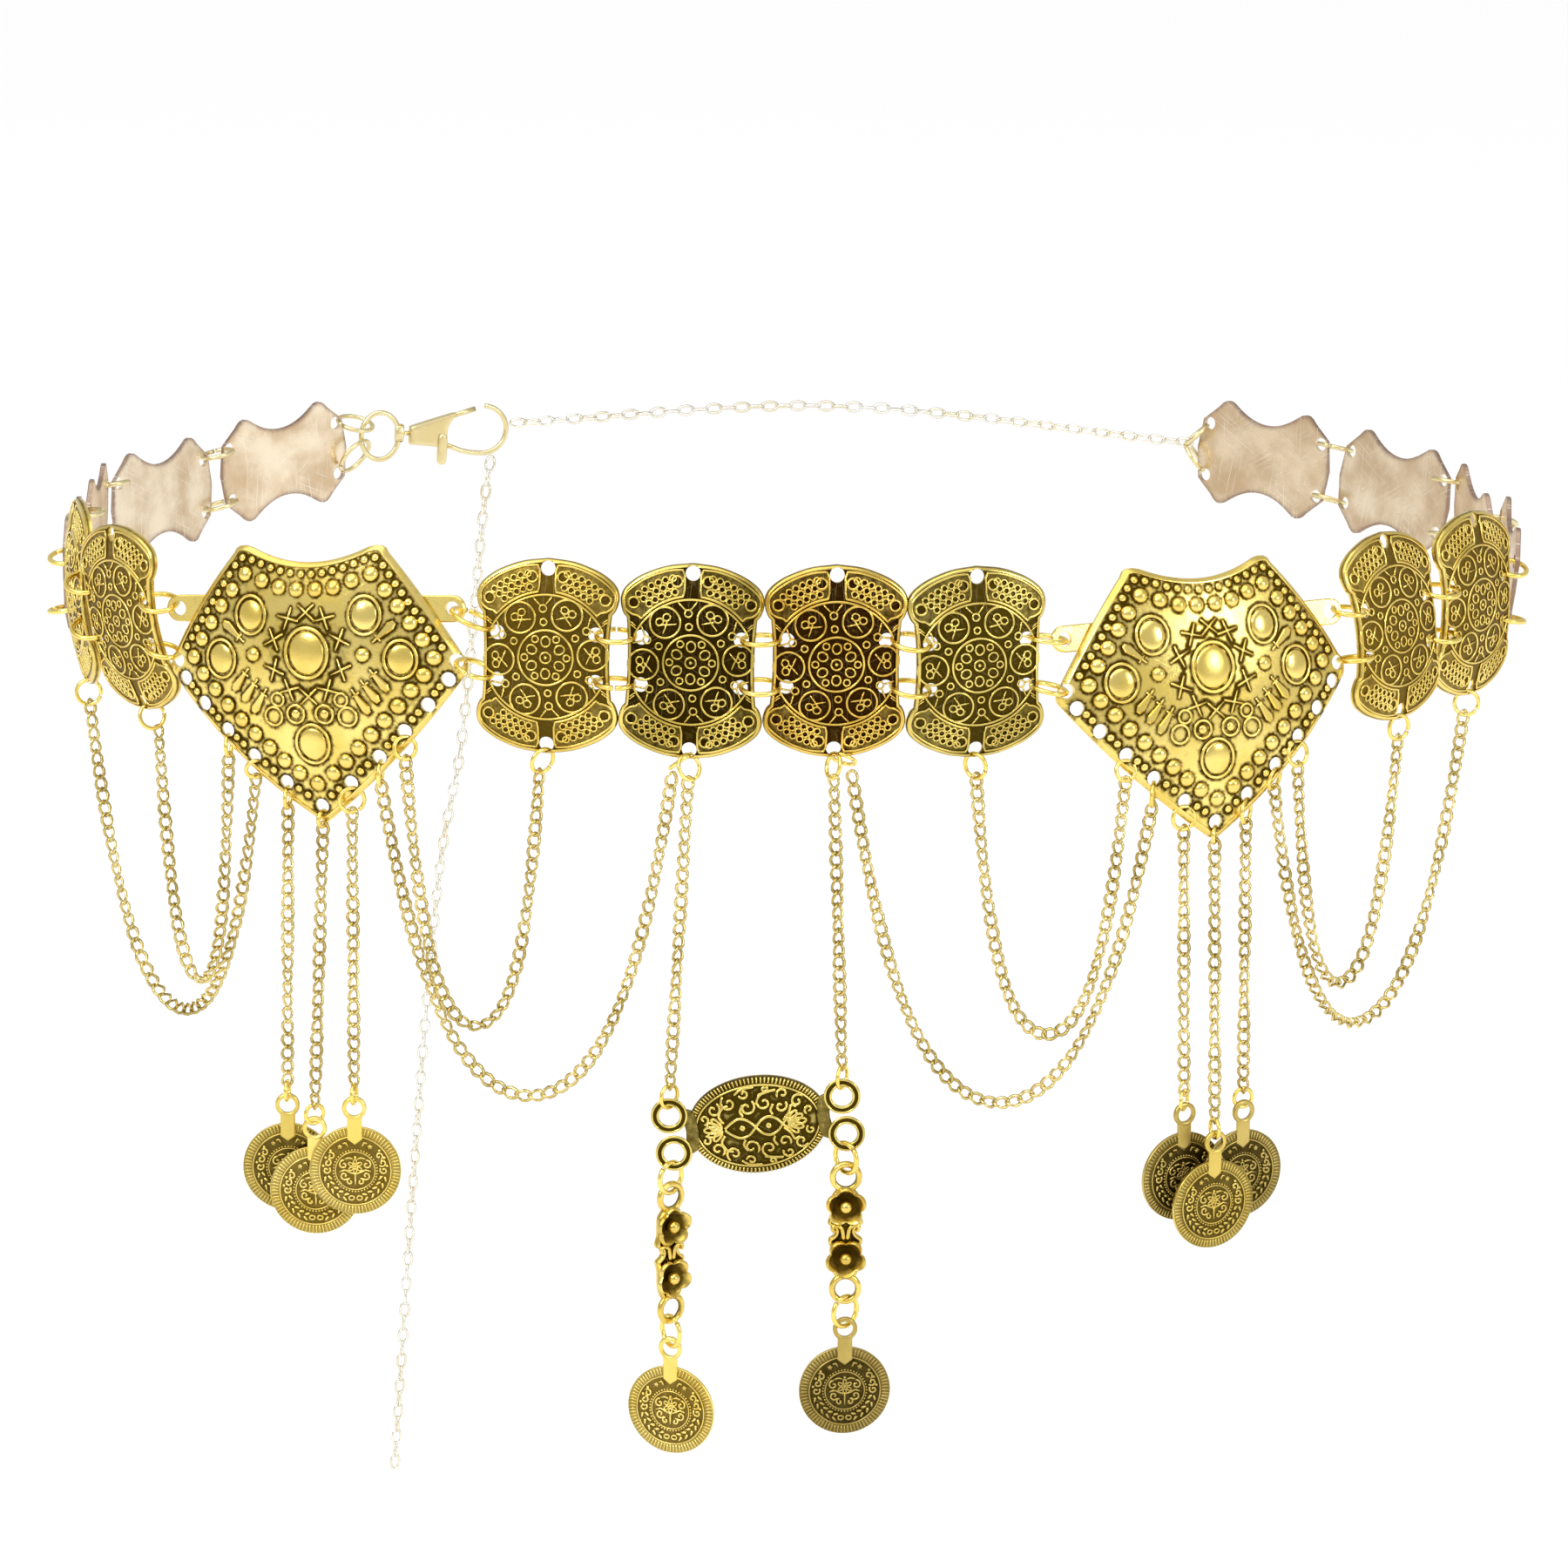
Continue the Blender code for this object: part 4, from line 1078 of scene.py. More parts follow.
def panelLoop(side, level):
    # the raised line round one of the four lobes, closed along the great circle
    inner = arc((0, 0), roundRelief["great"] + 0.85, 40, 82, 14)
    return [(x * side, z * level) for x, z in [*smoothLine(roundRelief["panel"]), *inner, *roundRelief["flare"]]]


def panelPits(side, level):
    # three rows of pits between two larger rings, in one of the four lobes
    spots = []
    for radius, start, end, step in roundRelief["pitRows"]:
        for index in range(int((end - start) / step + 0.01) + 1):
            x, z = polar(radius, start + index * step)
            spots.append((-x * side, z * level, roundRelief["pit"]))
    return spots + [(x * side, z * level, roundRelief["ringPit"]) for x, z in roundRelief["endRings"]]


def makeRoundPlate():
    sizes = roundRelief
    relief = Relief(sizes["ground"])
    wire, thin = sizes["line"], sizes["thin"]
    hub, eye, bead = sizes["hub"]
    relief.ring(0, 0, hub, wire)
    relief.ring(0, 0, eye, thin)
    relief.bead(0, 0, bead, 0.45)
    for way in range(0, 360, 60):
        reach, radius, ratio = sizes["petal"]
        relief.ring(*polar(reach, way + 30), radius, thin, ratio, way + 30)
        reach, radius = sizes["circle"]
        x, z = polar(reach, way + sizes["turn"])
        relief.ring(x, z, radius, wire)
        crossedLoops(relief, x, z, way + sizes["turn"])
        for reach, turn, radius in sizes["dots"]:
            relief.ring(*polar(reach, way + turn), radius, thin)
        middle = way + sizes["turn"] + 30
        foot, head, lean = sizes["stem"]
        for side in (-lean, lean):  # short stems from the ring to the great circle
            relief.line([polar(foot, middle + side * 0.35), polar(head, middle + side)], thin)
    pits = []
    for level in (1, -1):
        great = arc((0, 0), sizes["great"], 24, 156, 44)
        relief.line([(x, z * level) for x, z in great], wire)
        for side in (1, -1):
            relief.line(panelLoop(side, level), wire, True, 0.2)
            for x, z in ((15.0, 9.6), (14.9, 8.9)):  # the small wings beside the link holes
                relief.line([(x * side, z * level), ((x - 1.4) * side, (z - 1.1) * level)], 0.2)
            pits += panelPits(side, level)
    for x, z, radius in pits:
        grow, width = (0.26, 0.32) if radius == sizes["ringPit"] else (0.16, 0.24)
        relief.ring(x, z, radius + grow, width, lift=0.2)
    dark = relief.darkness(*sizes["patina"])
    tree = pointTree([(x, z) for x, z, radius in pits])
    panels = [panelLoop(side, level) for side in (1, -1) for level in (1, -1)]

    def inPanel(x, z):
        return any(abs(x) > 1.9 and isInside(x, z, loop) for loop in panels)

    def pitDepth(x, z):
        spot, index, distance = tree.find((x, z, 0))
        return 1 - clamped((distance - pits[index][2] + sizes["slope"]) / sizes["slope"])

    def ground(x, z):
        deep = sizes["ground"] + 0.1 - sizes["panelTop"]
        return sizes["panelTop"] + deep * pitDepth(x, z) if inPanel(x, z) else sizes["ground"]

    def darkened(x, z):
        plain, more = sizes["pitPatina"]
        return plain + more * pitDepth(x, z) if inPanel(x, z) else dark(x, z)

    ends = [(0, roundPlate["endHole"]), (0, -roundPlate["endHole"])]
    extra = []
    for x, z, radius in pits:
        extra += circle(x, z, radius, 12) + circle(x, z, radius - sizes["slope"], 12)
    body = castBody("roundPlate", roundOutline(), holeLoops(fourCorners(roundPlate["hole"]) + ends), sizes["rim"],
                    roundPlate["thickness"], sizes["spacing"], ground, darkened, 4.0, extra)
    return domed(joined("roundPlate", [body] + relief.pieces("roundPlate")), roundPlate["dome"])


def crossedLoops(relief, x, z, angle):
    # two small loops crossed by a bent stroke
    a = math.radians(angle + 90)

    def turnedPoint(u, v):
        return x + 1.2 * (u * math.cos(a) - v * math.sin(a)), z + 1.2 * (u * math.sin(a) + v * math.cos(a))

    for u in (-0.85, 0.85):
        relief.ring(*turnedPoint(u, -0.7), 0.86, roundRelief["signs"], 1.1, angle)
    for stroke in (((-1.8, 1.5), (-0.6, 0.9), (0.5, 0.2), (1.7, -0.2)), ((1.6, 1.7), (0.5, 0.9), (-0.5, 0.1))):
        relief.line([turnedPoint(u, v) for u, v in stroke], roundRelief["signs"])


pentagonRelief = {
    "ground": 0.35, "spacing": 0.36, "rim": ((0, 0.95), (0.75, 0.15), (1.0, 0.0), (1.25, 0.02), (1.45, 0.35)),
    "patina": (1.25, 0.64, 0.1),
    # places on the right half and in the middle, which the left half repeats
    "largeSize": (1.9, 1.45),
    "large": ((16.7, 19.3), (11.9, 17.7), (7.2, 16.1), (2.5, 15.6), (20.3, 15.3), (23.4, 11.4), (26.4, 7.2),
              (29.3, 3.0), (31.9, -1.5), (29.3, -5.6), (26.0, -9.4), (22.6, -13.3), (19.0, -16.9), (15.4, -20.4),
              (11.8, -23.8), (8.2, -27.1), (4.5, -30.2), (0, -32.9)),
    "smallSize": (0.98, 0.85),
    "small": ((17.6, 23.2), (14.9, 22.7), (12.3, 21.8), (9.6, 20.8), (6.9, 20.1), (4.2, 19.6), (1.35, 19.3)),
    "smallRow": ((19.6, 21.3), (33.9, 1.1), 10),  # from, to and how many
    # x, z, radius, height or wire, and how much taller than wide
    "bosses": ((14.5, -0.5, 1.75, 1.3, 1.0), (15.05, 9.28, 3.2, 0.75, 1.15), (23.8, -1.7, 3.2, 0.75, 1.15),
               (3.8, -15.2, 1.2, 0.7, 1.0), (0, 0, 4.6, 0.9, 1.15), (0, -22.7, 3.5, 0.8, 1.14)),
    "rings": ((15.05, 9.28, 4.05, 0.42, 1.17), (23.8, -1.7, 4.05, 0.42, 1.17), (8.4, -11.6, 1.65, 0.36, 1.0),
              (9.8, -15.8, 2.3, 0.38, 1.0), (3.8, -15.2, 2.25, 0.38, 1.0), (0, 0, 5.5, 0.5, 1.13),
              (0, -22.7, 4.35, 0.42, 1.12)),
    "blades": (((22.7, 7.5), (17.0, 2.5)), ((20.5, -9.5), (16.0, -4.0)), ((18.0, -12.2), (13.6, -6.6)),
               ((15.4, -15.0), (11.2, -8.9))),
    "crossSize": (2.9, 0.3), "crossOpen": 48,
    "crosses": ((0, 10.0, 90), (0, -10.8, 90), (4.8, 8.5, 62), (8.7, 3.3, 20), (8.9, -4.2, -24), (5.1, -9.2, -62)),
}


def bothSides(rows):
    # each row as it is and mirrored, but once where it stands in the middle
    return [(sign, sign * x, *rest) for x, *rest in rows for sign in ((-1, 1) if x else (1,))]


def blade(relief, head, foot):
    # a flat blade with a small cross bar and a point at its foot
    relief.blades.append((head, foot))
    way = Vector(foot) - Vector(head)
    side = Vector((-way.y, way.x)).normalized() * 1.15
    bar = Vector(head) + way * 0.76
    relief.line([tuple(bar - side), tuple(bar + side)], 0.27)
    relief.line([tuple(bar), foot], 0.3)
    outline = bladePoints(head, foot)
    for first, second in zip(outline, outline[1:]):
        relief.feet += [(*first.lerp(second, step / 8), 0.1) for step in range(8)]


def makePentagonPlate():
    sizes = pentagonRelief
    relief = Relief(sizes["ground"])
    first, last, count = sizes["smallRow"]
    small = [*sizes["small"], *(between(first, last, step / (count - 1)) for step in range(count))]
    for first, second in zip(edge[tipIndex:], edge[tipIndex + 1:]):  # two between each pair of edge holes
        small += [(x, z + 0.6) for x, z in (between(first, second, part) for part in (0.37, 0.63))]
    for places, size in ((sizes["large"], sizes["largeSize"]), (small, sizes["smallSize"])):
        for sign, x, z in bothSides(places):
            relief.bead(x, z, *size)
    for sign, x, z, radius, height, ratio in bothSides(sizes["bosses"]):
        relief.bead(x, z, radius, height, ratio)
    for sign, x, z, radius, wire, ratio in bothSides(sizes["rings"]):
        relief.ring(x, z, radius, wire, ratio)
    for head, foot in sizes["blades"]:
        for sign in (-1, 1):
            blade(relief, (sign * head[0], head[1]), (sign * foot[0], foot[1]))
    reach, wire = sizes["crossSize"]
    for sign, x, z, angle in bothSides(sizes["crosses"]):
        for lean in (-sizes["crossOpen"], sizes["crossOpen"]):
            u, v = polar(reach, (angle if sign > 0 else 180 - angle) + lean)
            relief.line([(x - u, z - v), (x, z), (x + u, z + v)], wire)
    for spot in edge:
        relief.feet += [(x, z, 0) for x, z in circle(*spot, link["hole"], 12)]
    near = relief.darkness(*sizes["patina"])

    def dark(x, z):
        # darker round the middle boss and along the border
        middle = max(0, 1 - abs(math.hypot(x, z) - 9.0) / 3.6)
        border = 0.12 if abs(x) * 0.76 + abs(z + 5) * 0.62 > 20 else 0.0
        return min(1.0, near(x, z) + 0.26 * middle + border)

    ringX, ringZ = pentagon["ringHole"]
    body = castBody("pentagonPlate", pentagonOutline(), holeLoops(edge + [(-ringX, ringZ), (ringX, ringZ)]),
                    sizes["rim"], pentagon["thickness"], sizes["spacing"], sizes["ground"], dark, 5.0)
    plate = domed(joined("pentagonPlate", [body] + relief.pieces("pentagonPlate")), pentagon["dome"])
    return joined("pentagonPlate", [plate, makeTab(-1), makeTab(1)])


def makeTab(sign):
    holeX, holeZ = pentagon["tabHole"]
    half = pentagon["tabHalf"]
    outline = arc((holeX, holeZ), half, -90, 90, 16)
    outline += [(pentagon["tabInner"], holeZ + half), (pentagon["tabInner"], holeZ - half)]
    hole = circle(holeX, holeZ, link["hole"], 22)
    if sign < 0:
        outline, hole = mirrored(outline), mirrored(hole)
    depth = (holeX ** 2 + holeZ ** 2) / (2 * pentagon["dome"]) + (pentagon["thickness"] - pentagon["tabThickness"]) / 2
    tab = castBody("tab", outline, [hole], pentagon["tabRim"], pentagon["tabThickness"], 1.2, dark=0.12)
    return shifted(tab, depth)


def makeBackPlate():
    outline = backOutline()
    rim = pointTree([between(*ends, part) for ends in edgesOf(outline) for part in (0, 0.25, 0.5, 0.75)])
    edgeDark, fade = backPlate["wear"]
    plate = castBody("backPlate", outline, holeLoops(fourCorners(backPlate["hole"])), backPlate["rim"],
                     backPlate["thickness"], backPlate["spacing"], backSpacing=backPlate["spacing"])
    return recessBy(plate, lambda x, y, z: edgeDark * max(0.0, 1 - rim.find((x, z, 0))[2] / fade) ** 1.5)


def plateLinks(side, index):
    # the two rings that hold the next plate, turned a little each in its own way
    kind, place = plates[side][index]
    pairs = []
    if index < 8:
        pairs.append((*plates[side][index + 1], 1 if side == "r" else -1))
    if index == 0 and side == "r":
        pairs.append((*plates["l"][0], -1))
    rings = []
    chance = random.Random(index + (20 if side == "r" else 0))
    for nextKind, nextPlace, way in pairs:
        for hole, nextHole in zip(linkHoles[kind], linkHoles[nextKind]):
            start = platePoint(kind, place, way * hole[0], hole[1])
            end = platePoint(nextKind, nextPlace, -way * nextHole[0], nextHole[1])
            outward = (place.col[1].xyz + nextPlace.col[1].xyz) * -1
            tilt = way * (9 + chance.uniform(-6, 6))
            rings.append(linkRing(start, end, outward, tilt, chance.uniform(0, 360)))
    if index == 8 and side == "r":  # two rings that meet in the back chain's last link
        for height, cut in ((1, 150), (-1, 200)):
            start = platePoint(kind, place, backPlate["hole"][0], backPlate["hole"][1] * height)
            end = worldPoint(backEnds[1]) + Vector((-1.6, 0, 0))
            rings.append(linkRing(start, end, Vector((0, 1, 0)), 8 * height, cut))
    if index == 8 and side == "l":
        loopFrame = claspFrame()
        for height in (1, -1):
            start = platePoint(kind, place, -backPlate["hole"][0], backPlate["hole"][1] * height)
            wire = loopFrame @ Vector((-clasp["loop"][0] * 0.86, 0, clasp["loop"][1] * 0.52 * height))
            end = wire + (wire - start).normalized() * (clasp["loopWire"] + link["wire"] + 0.8 + link["freeInset"])
            rings.append(linkRing(start, end, Vector((0.5, 1, 0)), 6 * height, 200))
    return rings


def linkRing(start, end, outward, tilt, cut):
    along = (end - start).normalized()
    radius = ((end - start).length - link["fixedInset"] - link["freeInset"]) / 2
    centre = start + along * (link["fixedInset"] + radius)
    across = along.cross(outward).normalized()
    across = Matrix.Rotation(math.radians(tilt), 3, along) @ across
    return openRing(centre, along, across, radius, link["wire"], cut)


clasp = {"place": (-112.6, 270.8, 4.3), "turn": 17, "tilt": 4, "loop": (5.6, 6.9), "loopWire": 0.75,
         "boss": (1.75, 2.6, 5.7, 1.0),  # radius, length, x and z
         "pin": (6.0, 8.6, 0.65), "thickness": 2.6, "rim": ((0, 0.7), (0.3, 0.2), (0.7, 0.0)),
         "body": ((8.7, -2.0), (9.1, -2.3), (15.0, -2.6), (19.6, -3.2), (20.4, -3.0), (20.1, -1.0), (19.9, 1.2),
                  (20.2, 3.2), (21.2, 5.2), (22.8, 6.8), (22.2, 7.4), (16.0, 5.4), (9.1, 3.1), (8.7, 2.7)),
         "lever": (17.0, 19.8, -7.8, 1.2),  # left, right, foot and head
         "leverThickness": 1.5, "leverDepth": -2.3, "leverRim": ((0, 0.4), (0.25, 0.08), (0.45, 0.0)),
         "arm": ((20.0, 5.9), (28.0, 8.6)), "hook": (30.6, 2.5), "hookRadius": 7.0,
         "hookFoot": ((19.6, -2.2), (22.0, -3.0), (24.5, -3.9), (27.5, -4.4)), "wire": 0.75}


def claspFrame():
    turn = Matrix.Rotation(math.radians(clasp["turn"]), 4, "Z")
    tilt = Matrix.Rotation(math.radians(clasp["tilt"]), 4, "Y")
    return Matrix.Translation(worldPoint(clasp["place"])) @ turn @ tilt


plateLooks = {"round_plate_r1": "plateRed", "round_plate_l1": "plateDark", "round_plate_l2": "plateGold",
              "round_plate_r2": "plateOlive", "round_plate_l5": "plateLight", "round_plate_r5": "plateLight",
              "round_plate_l4": "plateLight", "round_plate_r4": "plateLight"}
shapes = {"round": (makeRoundPlate(), "plateGold"), "pentagon": (makePentagonPlate(), "pentagonGold"),
          "back": (makeBackPlate(), "backBrass")}
for side in ("r", "l"):
    for index, (kind, place) in enumerate(plates[side]):
        name = f"{kind}_plate_{side}{index + 1}"
        shape, look = shapes[kind]
        plate = painted(placed(duplicated(shape, "plate"), inMetres(place)), plateLooks.get(name, look))
        rings = plateLinks(side, index)
        if rings:
            plate = joined("plate", [plate, bentRings(rings, "claspGold" if index > 4 else "ringGold")])
        finished(plate, "belt", name)
for shape, look in shapes.values():
    bpy.data.objects.remove(shape)
print("plates cast")


# Coins

coinRelief = {
    "ground": 0.16, "rim": (0.28, 0.12, 0.14),  # depth at the edge and inside it, and the corner's width
    "ledge": 9.1, "rimInner": 8.9, "reeds": 76, "reed": (9.3, 11.25, 0.27),
    "beadCircle": 5.5, "beads": 44, "bead": (0.27, 0.34), "rings": ((9.0, 0.24), (5.0, 0.2)),
    "star": (7.35, 31, 0.62),  # reach, degrees from the top, and length of an arm
    "wreath": ((7.85, 30), (6.6, -30)), "leaf": (0.62, 0.46), "leafStep": 13.5,
    "scrolls": (1, 17, 33), "eyeRing": (2.55, 0.58),
    "curls": ((2.9, 1.6, 60, 1.25, 1.1, 1), (2.7, -1.3, 250, 1.2, 1.1, -1), (1.3, -2.9, 90, 0.9, 1.0, 1)),
}


def makeCoin():
    # drawn round its own middle, then hung so that the middle of the eye is the origin
    sizes = coinRelief
    radius = coins["radius"]
    face = -coins["thickness"] / 2
    edgeDepth, rimDepth, corner = sizes["rim"]
    steps = ((0, edgeDepth), (corner, rimDepth), (radius - sizes["ledge"], rimDepth),
             (radius - sizes["rimInner"], sizes["ground"]))
    disc = castBody("disc", circle(0, 0, radius, 96), [], steps, coins["thickness"], 0.9, sizes["ground"],
                    backSpacing=2.4)

    def patina(x, y, z):
        reach = math.hypot(x, z)
        return 0.7 if reach < sizes["rimInner"] + 0.05 else 0.5 if reach < radius - 0.05 else 0.05

    shifted(recessBy(disc, patina), face)
    relief = Relief(face + sizes["ground"])
    inner, outer, wire = sizes["reed"]
    for step in range(sizes["reeds"]):
        angle = 360 * step / sizes["reeds"]
        relief.line([polar(inner, angle), polar(outer, angle)], wire, lift=0.06)
    for reach, wire in sizes["rings"]:
        relief.ring(0, 0, reach, wire)
    for step in range(sizes["beads"]):
        relief.bead(*polar(sizes["beadCircle"], 360 * step / sizes["beads"]), *sizes["bead"])
    for sign in (-1, 1):
        reach, angle, arm = sizes["star"]
        x, z = polar(reach, 90 + sign * angle)
        for u, v in (polar(arm, 90 + 72 * step) for step in range(5)):
            relief.line([(x, z), (x + u, z + v)], 0.27)
        leaf, wire = sizes["leaf"]
        for step in range(5):  # wreath in the lower half
            angle = -90 + sign * (20 + sizes["leafStep"] * step)
            for reach, lean in sizes["wreath"]:
                x, z = polar(reach, angle)
                u, v = polar(leaf, angle + sign * (90 + lean))
                relief.line([(x - u, z - v), (x, z), (x + u, z + v)], wire, lift=0.06)
        for index, angle in enumerate(sizes["scrolls"]):  # bold scrolls in the upper half
            way = angle if sign > 0 else 180 - angle
            x, z = polar(7.2, way)
            curl = [polar(1.05 - 0.085 * turn, way + sign * (140 + 42 * turn) + 60 * index) for turn in range(10)]
            relief.line([(x + u, z + v) for u, v in curl], 0.36)
            relief.bead(*polar(8.1, way + sign * 8), 0.42, 0.4)
        u, v = polar(7.4, 90 - sign * 14)
        relief.line([(u, v - 0.7), (u + sign * 0.5, v + 0.2), (u + sign * 1.3, v)], 0.32)
        relief.ring(sign, -7.2, 0.7, 0.28, 0.8)
    emblem(relief)
    front = relief.pieces("coin", 0)
    behind = [placed(duplicated(piece, "behind"), Matrix.Rotation(math.pi, 4, "Z")) for piece in front]
    struck = placed(joined("coin", [disc] + front + behind), Matrix.Translation((0, 0, -coins["drop"] * mm)))
    return joined("coin", [struck, makeCoinTab()])


def emblem(relief):
    # a flower over flowing scrolls, in place of the coin's writing
    relief.bead(0, 1.1, 0.45, 0.4)
    for angle in range(30, 390, 60):
        x, z = polar(1.25, angle)
        relief.ring(x, z + 1.1, 0.66, 0.27, 0.6, angle)
    for sign in (-1, 1):
        for x, z, start, size, turns, direction in coinRelief["curls"]:
            start = math.radians(start if sign > 0 else 180 - start)
            relief.line(spiral(sign * x, z, start, size, turns, direction * sign), 0.34)
        relief.line([(0, -0.9), (sign * 1.2, -0.5), (sign * 2.6, 0.2), (sign * 3.9, -0.2)], 0.34)
        relief.line([(sign * 0.5, 3.1), (sign * 1.6, 3.4), (sign * 2.7, 3.1)], 0.3)
    relief.line([(0, -0.4), (0, -2.0), (0, -3.8)], 0.34)
    relief.bead(0, 3.5, 0.4, 0.35)


def makeCoinTab():
    half = coins["tabHalf"]
    foot = math.degrees(math.acos(half / coins["eyeOuter"]))
    outline = arc((0, 0), coins["eyeOuter"], -foot, 180 + foot, 30)
    outline += [(-half, coins["tabEnd"]), (0, coins["tabPoint"]), (half, coins["tabEnd"])]
    tab = castBody("tab", outline, [circle(0, 0, coins["eyeInner"], 26)], coins["tabRim"], coins["tabThickness"],
                   0.7, dark=0.1)
    shifted(tab, -coins["thickness"] / 2 - coins["tabThickness"] / 2)
    radius, wire = coinRelief["eyeRing"]
    ring = wires("eye", [(atDepth(circle(0, 0, radius, 30), -coins["thickness"] / 2), wire, True)], 3)
    return joined("tab", [tab, setRecess(ring, 0.05)])


coinShape = makeCoin()
# coins in shade take the darker copies of the coin metal: painted shade
coinLooks = {"coin_l1": "coinDull", "coin_centre_r": "coinOlive", "coin_r1": "coinOlive", "coin_r3": "coinOlive",
             "coin_r2": "coinDull"}


def placeCoin(name, eye, turn, body):
    coin = painted(duplicated(coinShape, "coin"), coinLooks.get(name, "coinGold"))
    placed(coin, Matrix.Translation(eye * mm) @ Matrix.Rotation(math.radians(turn), 4, "Z"))
    finished(coin, body, name)


for side in ("l", "r"):
    for index in range(3):
        name = f"coin_{side}{index + 1}"
        placeCoin(name, worldPoint(coinEyes[side][index][:3]), coinTurns[side], name + "_body")
print("coins struck")


# Oval link

ovalRelief = {
    "ground": 0.5, "spacing": 0.42, "patina": (1.3, 0.5, 0.5),
    "rim": ((0, 0.75), (0.15, 0.42), (1.5, 0.42), (1.75, 0.5), (2.3, 0.5)),
    "ribs": 104, "rib": (1.5, 0.08, 0.2, 0.27),  # inset at both ends, depth and wire
    "innerRing": (2.0, 0.3), "beads": (-3.9, 2.7), "seat": -1.6,
    "band": ((-8.2, 0.2), (-6.6, 1.5), (-4.6, 2.5), (-2.4, 1.9), (-0.7, 0.2), (0.9, -1.6), (2.9, -2.4),
             (4.8, -1.6), (6.2, 0.0), (7.6, 1.6)),
    # middle, start in radians, size, turns and direction of each scroll
    "scrolls": ((-10.6, 5.2, 0.4, 1.7, 1.1, 1), (-6.6, 6.6, 2.8, 1.9, 1.1, -1), (-2.2, 5.2, 0.2, 1.9, 1.1, 1),
                (-2.6, 8.7, 3.4, 1.2, 1.0, -1), (2.2, 6.0, 2.4, 1.9, 1.1, -1), (6.2, 4.6, 0.6, 1.5, 1.0, 1),
                (7.0, 7.6, 3.6, 1.4, 1.0, 1), (10.4, 5.2, 1.2, 1.6, 1.1, -1), (13.0, 2.6, 4.2, 1.1, 1.0, 1),
                (-13.2, 2.8, 4.6, 1.2, 1.0, -1), (2.6, 9.4, 0.6, 0.8, 1.0, 1)),
    "stems": (((-8.4, 1.6), (-9.4, 3.4), (-8.4, 5.4), (-6.8, 6.0)), ((6.4, 1.0), (8.0, 2.7), (8.8, 4.4), (10.0, 3.9)),
              ((-3.4, 3.0), (-4.0, 4.4), (-3.2, 6.0)), ((4.0, 2.8), (3.6, 4.0), (4.4, 5.4)),
              ((-5.0, 8.6), (-3.0, 9.9), (0.0, 10.1)), ((0.8, 8.0), (3.6, 8.6), (5.4, 8.8))),
    "ends": ((-9.0, 180), (7.6, 0)), "petals": ((24, 2.1), (52, 1.9)), "midPetal": (2.4, 2.1),
}


def makeOvalLink():
    sizes = ovalRelief
    halfX, halfZ = ovalLink["half"]
    relief = Relief(sizes["ground"])
    inset, wire = sizes["innerRing"]
    relief.line(oval(0, 0, halfX - inset, halfZ - inset, 90), wire, True, 0.22)
    inner, outer, depth, wire = sizes["rib"]
    ribs = zip(*(oval(0, 0, halfX - inset, halfZ - inset, sizes["ribs"]) for inset in (inner, outer)))
    relief.lines += [(atDepth(rib, depth), wire, False) for rib in ribs]
    for x in sizes["beads"]:
        relief.bead(x, 0, 0.85, 0.6)
    for side in (1, -1):  # two hearts that close round the beads
        relief.line([(x, z * side) for x, z in smoothLine(sizes["band"])], 0.42, lift=0.2)
        for x, z, start, size, turns, direction in sizes["scrolls"]:
            curl = spiral(x, z, start, size * 1.12, turns, direction)
            relief.line([(u, v * side) for u, v in curl], 0.38, lift=0.18)
        for stem in sizes["stems"]:
            relief.line([(u, v * side) for u, v in smoothLine(stem)], 0.4, lift=0.18)
    for end, reach in sizes["ends"]:  # palmettes
        for turn, long in sizes["petals"]:
            for side in (1, -1):
                way = reach - side * turn if reach else side * turn
                u, v = polar(long, way)
                relief.ring(end + u, v, long * 0.9, 0.38, 0.4, way, 0.18)
        long, radius = sizes["midPetal"]
        u, v = polar(long, reach)
        relief.ring(end + u, v, radius, 0.4, 0.4, reach, 0.18)
    near = relief.darkness(*sizes["patina"])

    def patina(x, y, z):
        share = math.hypot(x / halfX, z / halfZ)
        if y >= 1.0:
            return 0.25
        return 0.72 if share > 0.9 else min(1.0, near(x, z) * (0.85 + 0.5 * max(0, 1 - share)))

    body = castBody("oval", oval(0, 0, halfX, halfZ, 104), [], sizes["rim"], ovalLink["thickness"], sizes["spacing"],
                    sizes["ground"])
    plate = joined("oval", [recessBy(body, patina)] + relief.pieces("oval"))
    return domed(shifted(plate, sizes["seat"]), ovalLink["dome"])


def eyeShape(x, z, depth, radius, wire):
    # a round eye whose face has a dark groove between two ridges
    core = wires("eye", [(atDepth(circle(x, z, radius, 36), depth), wire + 0.12, True)], 2)
    recessBy(core, lambda u, y, v: 1.0 if y < depth - 0.1 else 0.3)
    ridges = [(atDepth(circle(x, z, radius + grow, steps), depth - lift), 0.34, True)
              for grow, steps, lift in ((0.78, 36, 0.5), (-0.6, 32, 0.6))]
    return joined("eye", [core, setRecess(wires("ridges", ridges, 2), 0.05)])


yoke = {"outline": ((15.2, -4.9), (17.6, -6.0), (18.9, -5.0), (18.3, -2.6), (17.9, 0.0), (18.3, 2.6), (18.9, 5.0),
                    (17.6, 6.0), (15.2, 4.9), (14.6, 0.0)),
        "rim": ((0, 0.35), (0.25, 0.06), (0.45, 0.0)), "thickness": 1.2, "depth": 0.5}


def makeYoke(sign):
    # the web that carries the two eyes of one side
    outline = list(yoke["outline"]) if sign > 0 else mirrored(yoke["outline"])
    web = castBody("yoke", smoothCorners(outline), [], yoke["rim"], yoke["thickness"], 0.7)
    return shifted(setRecess(web, 0.6), yoke["depth"])


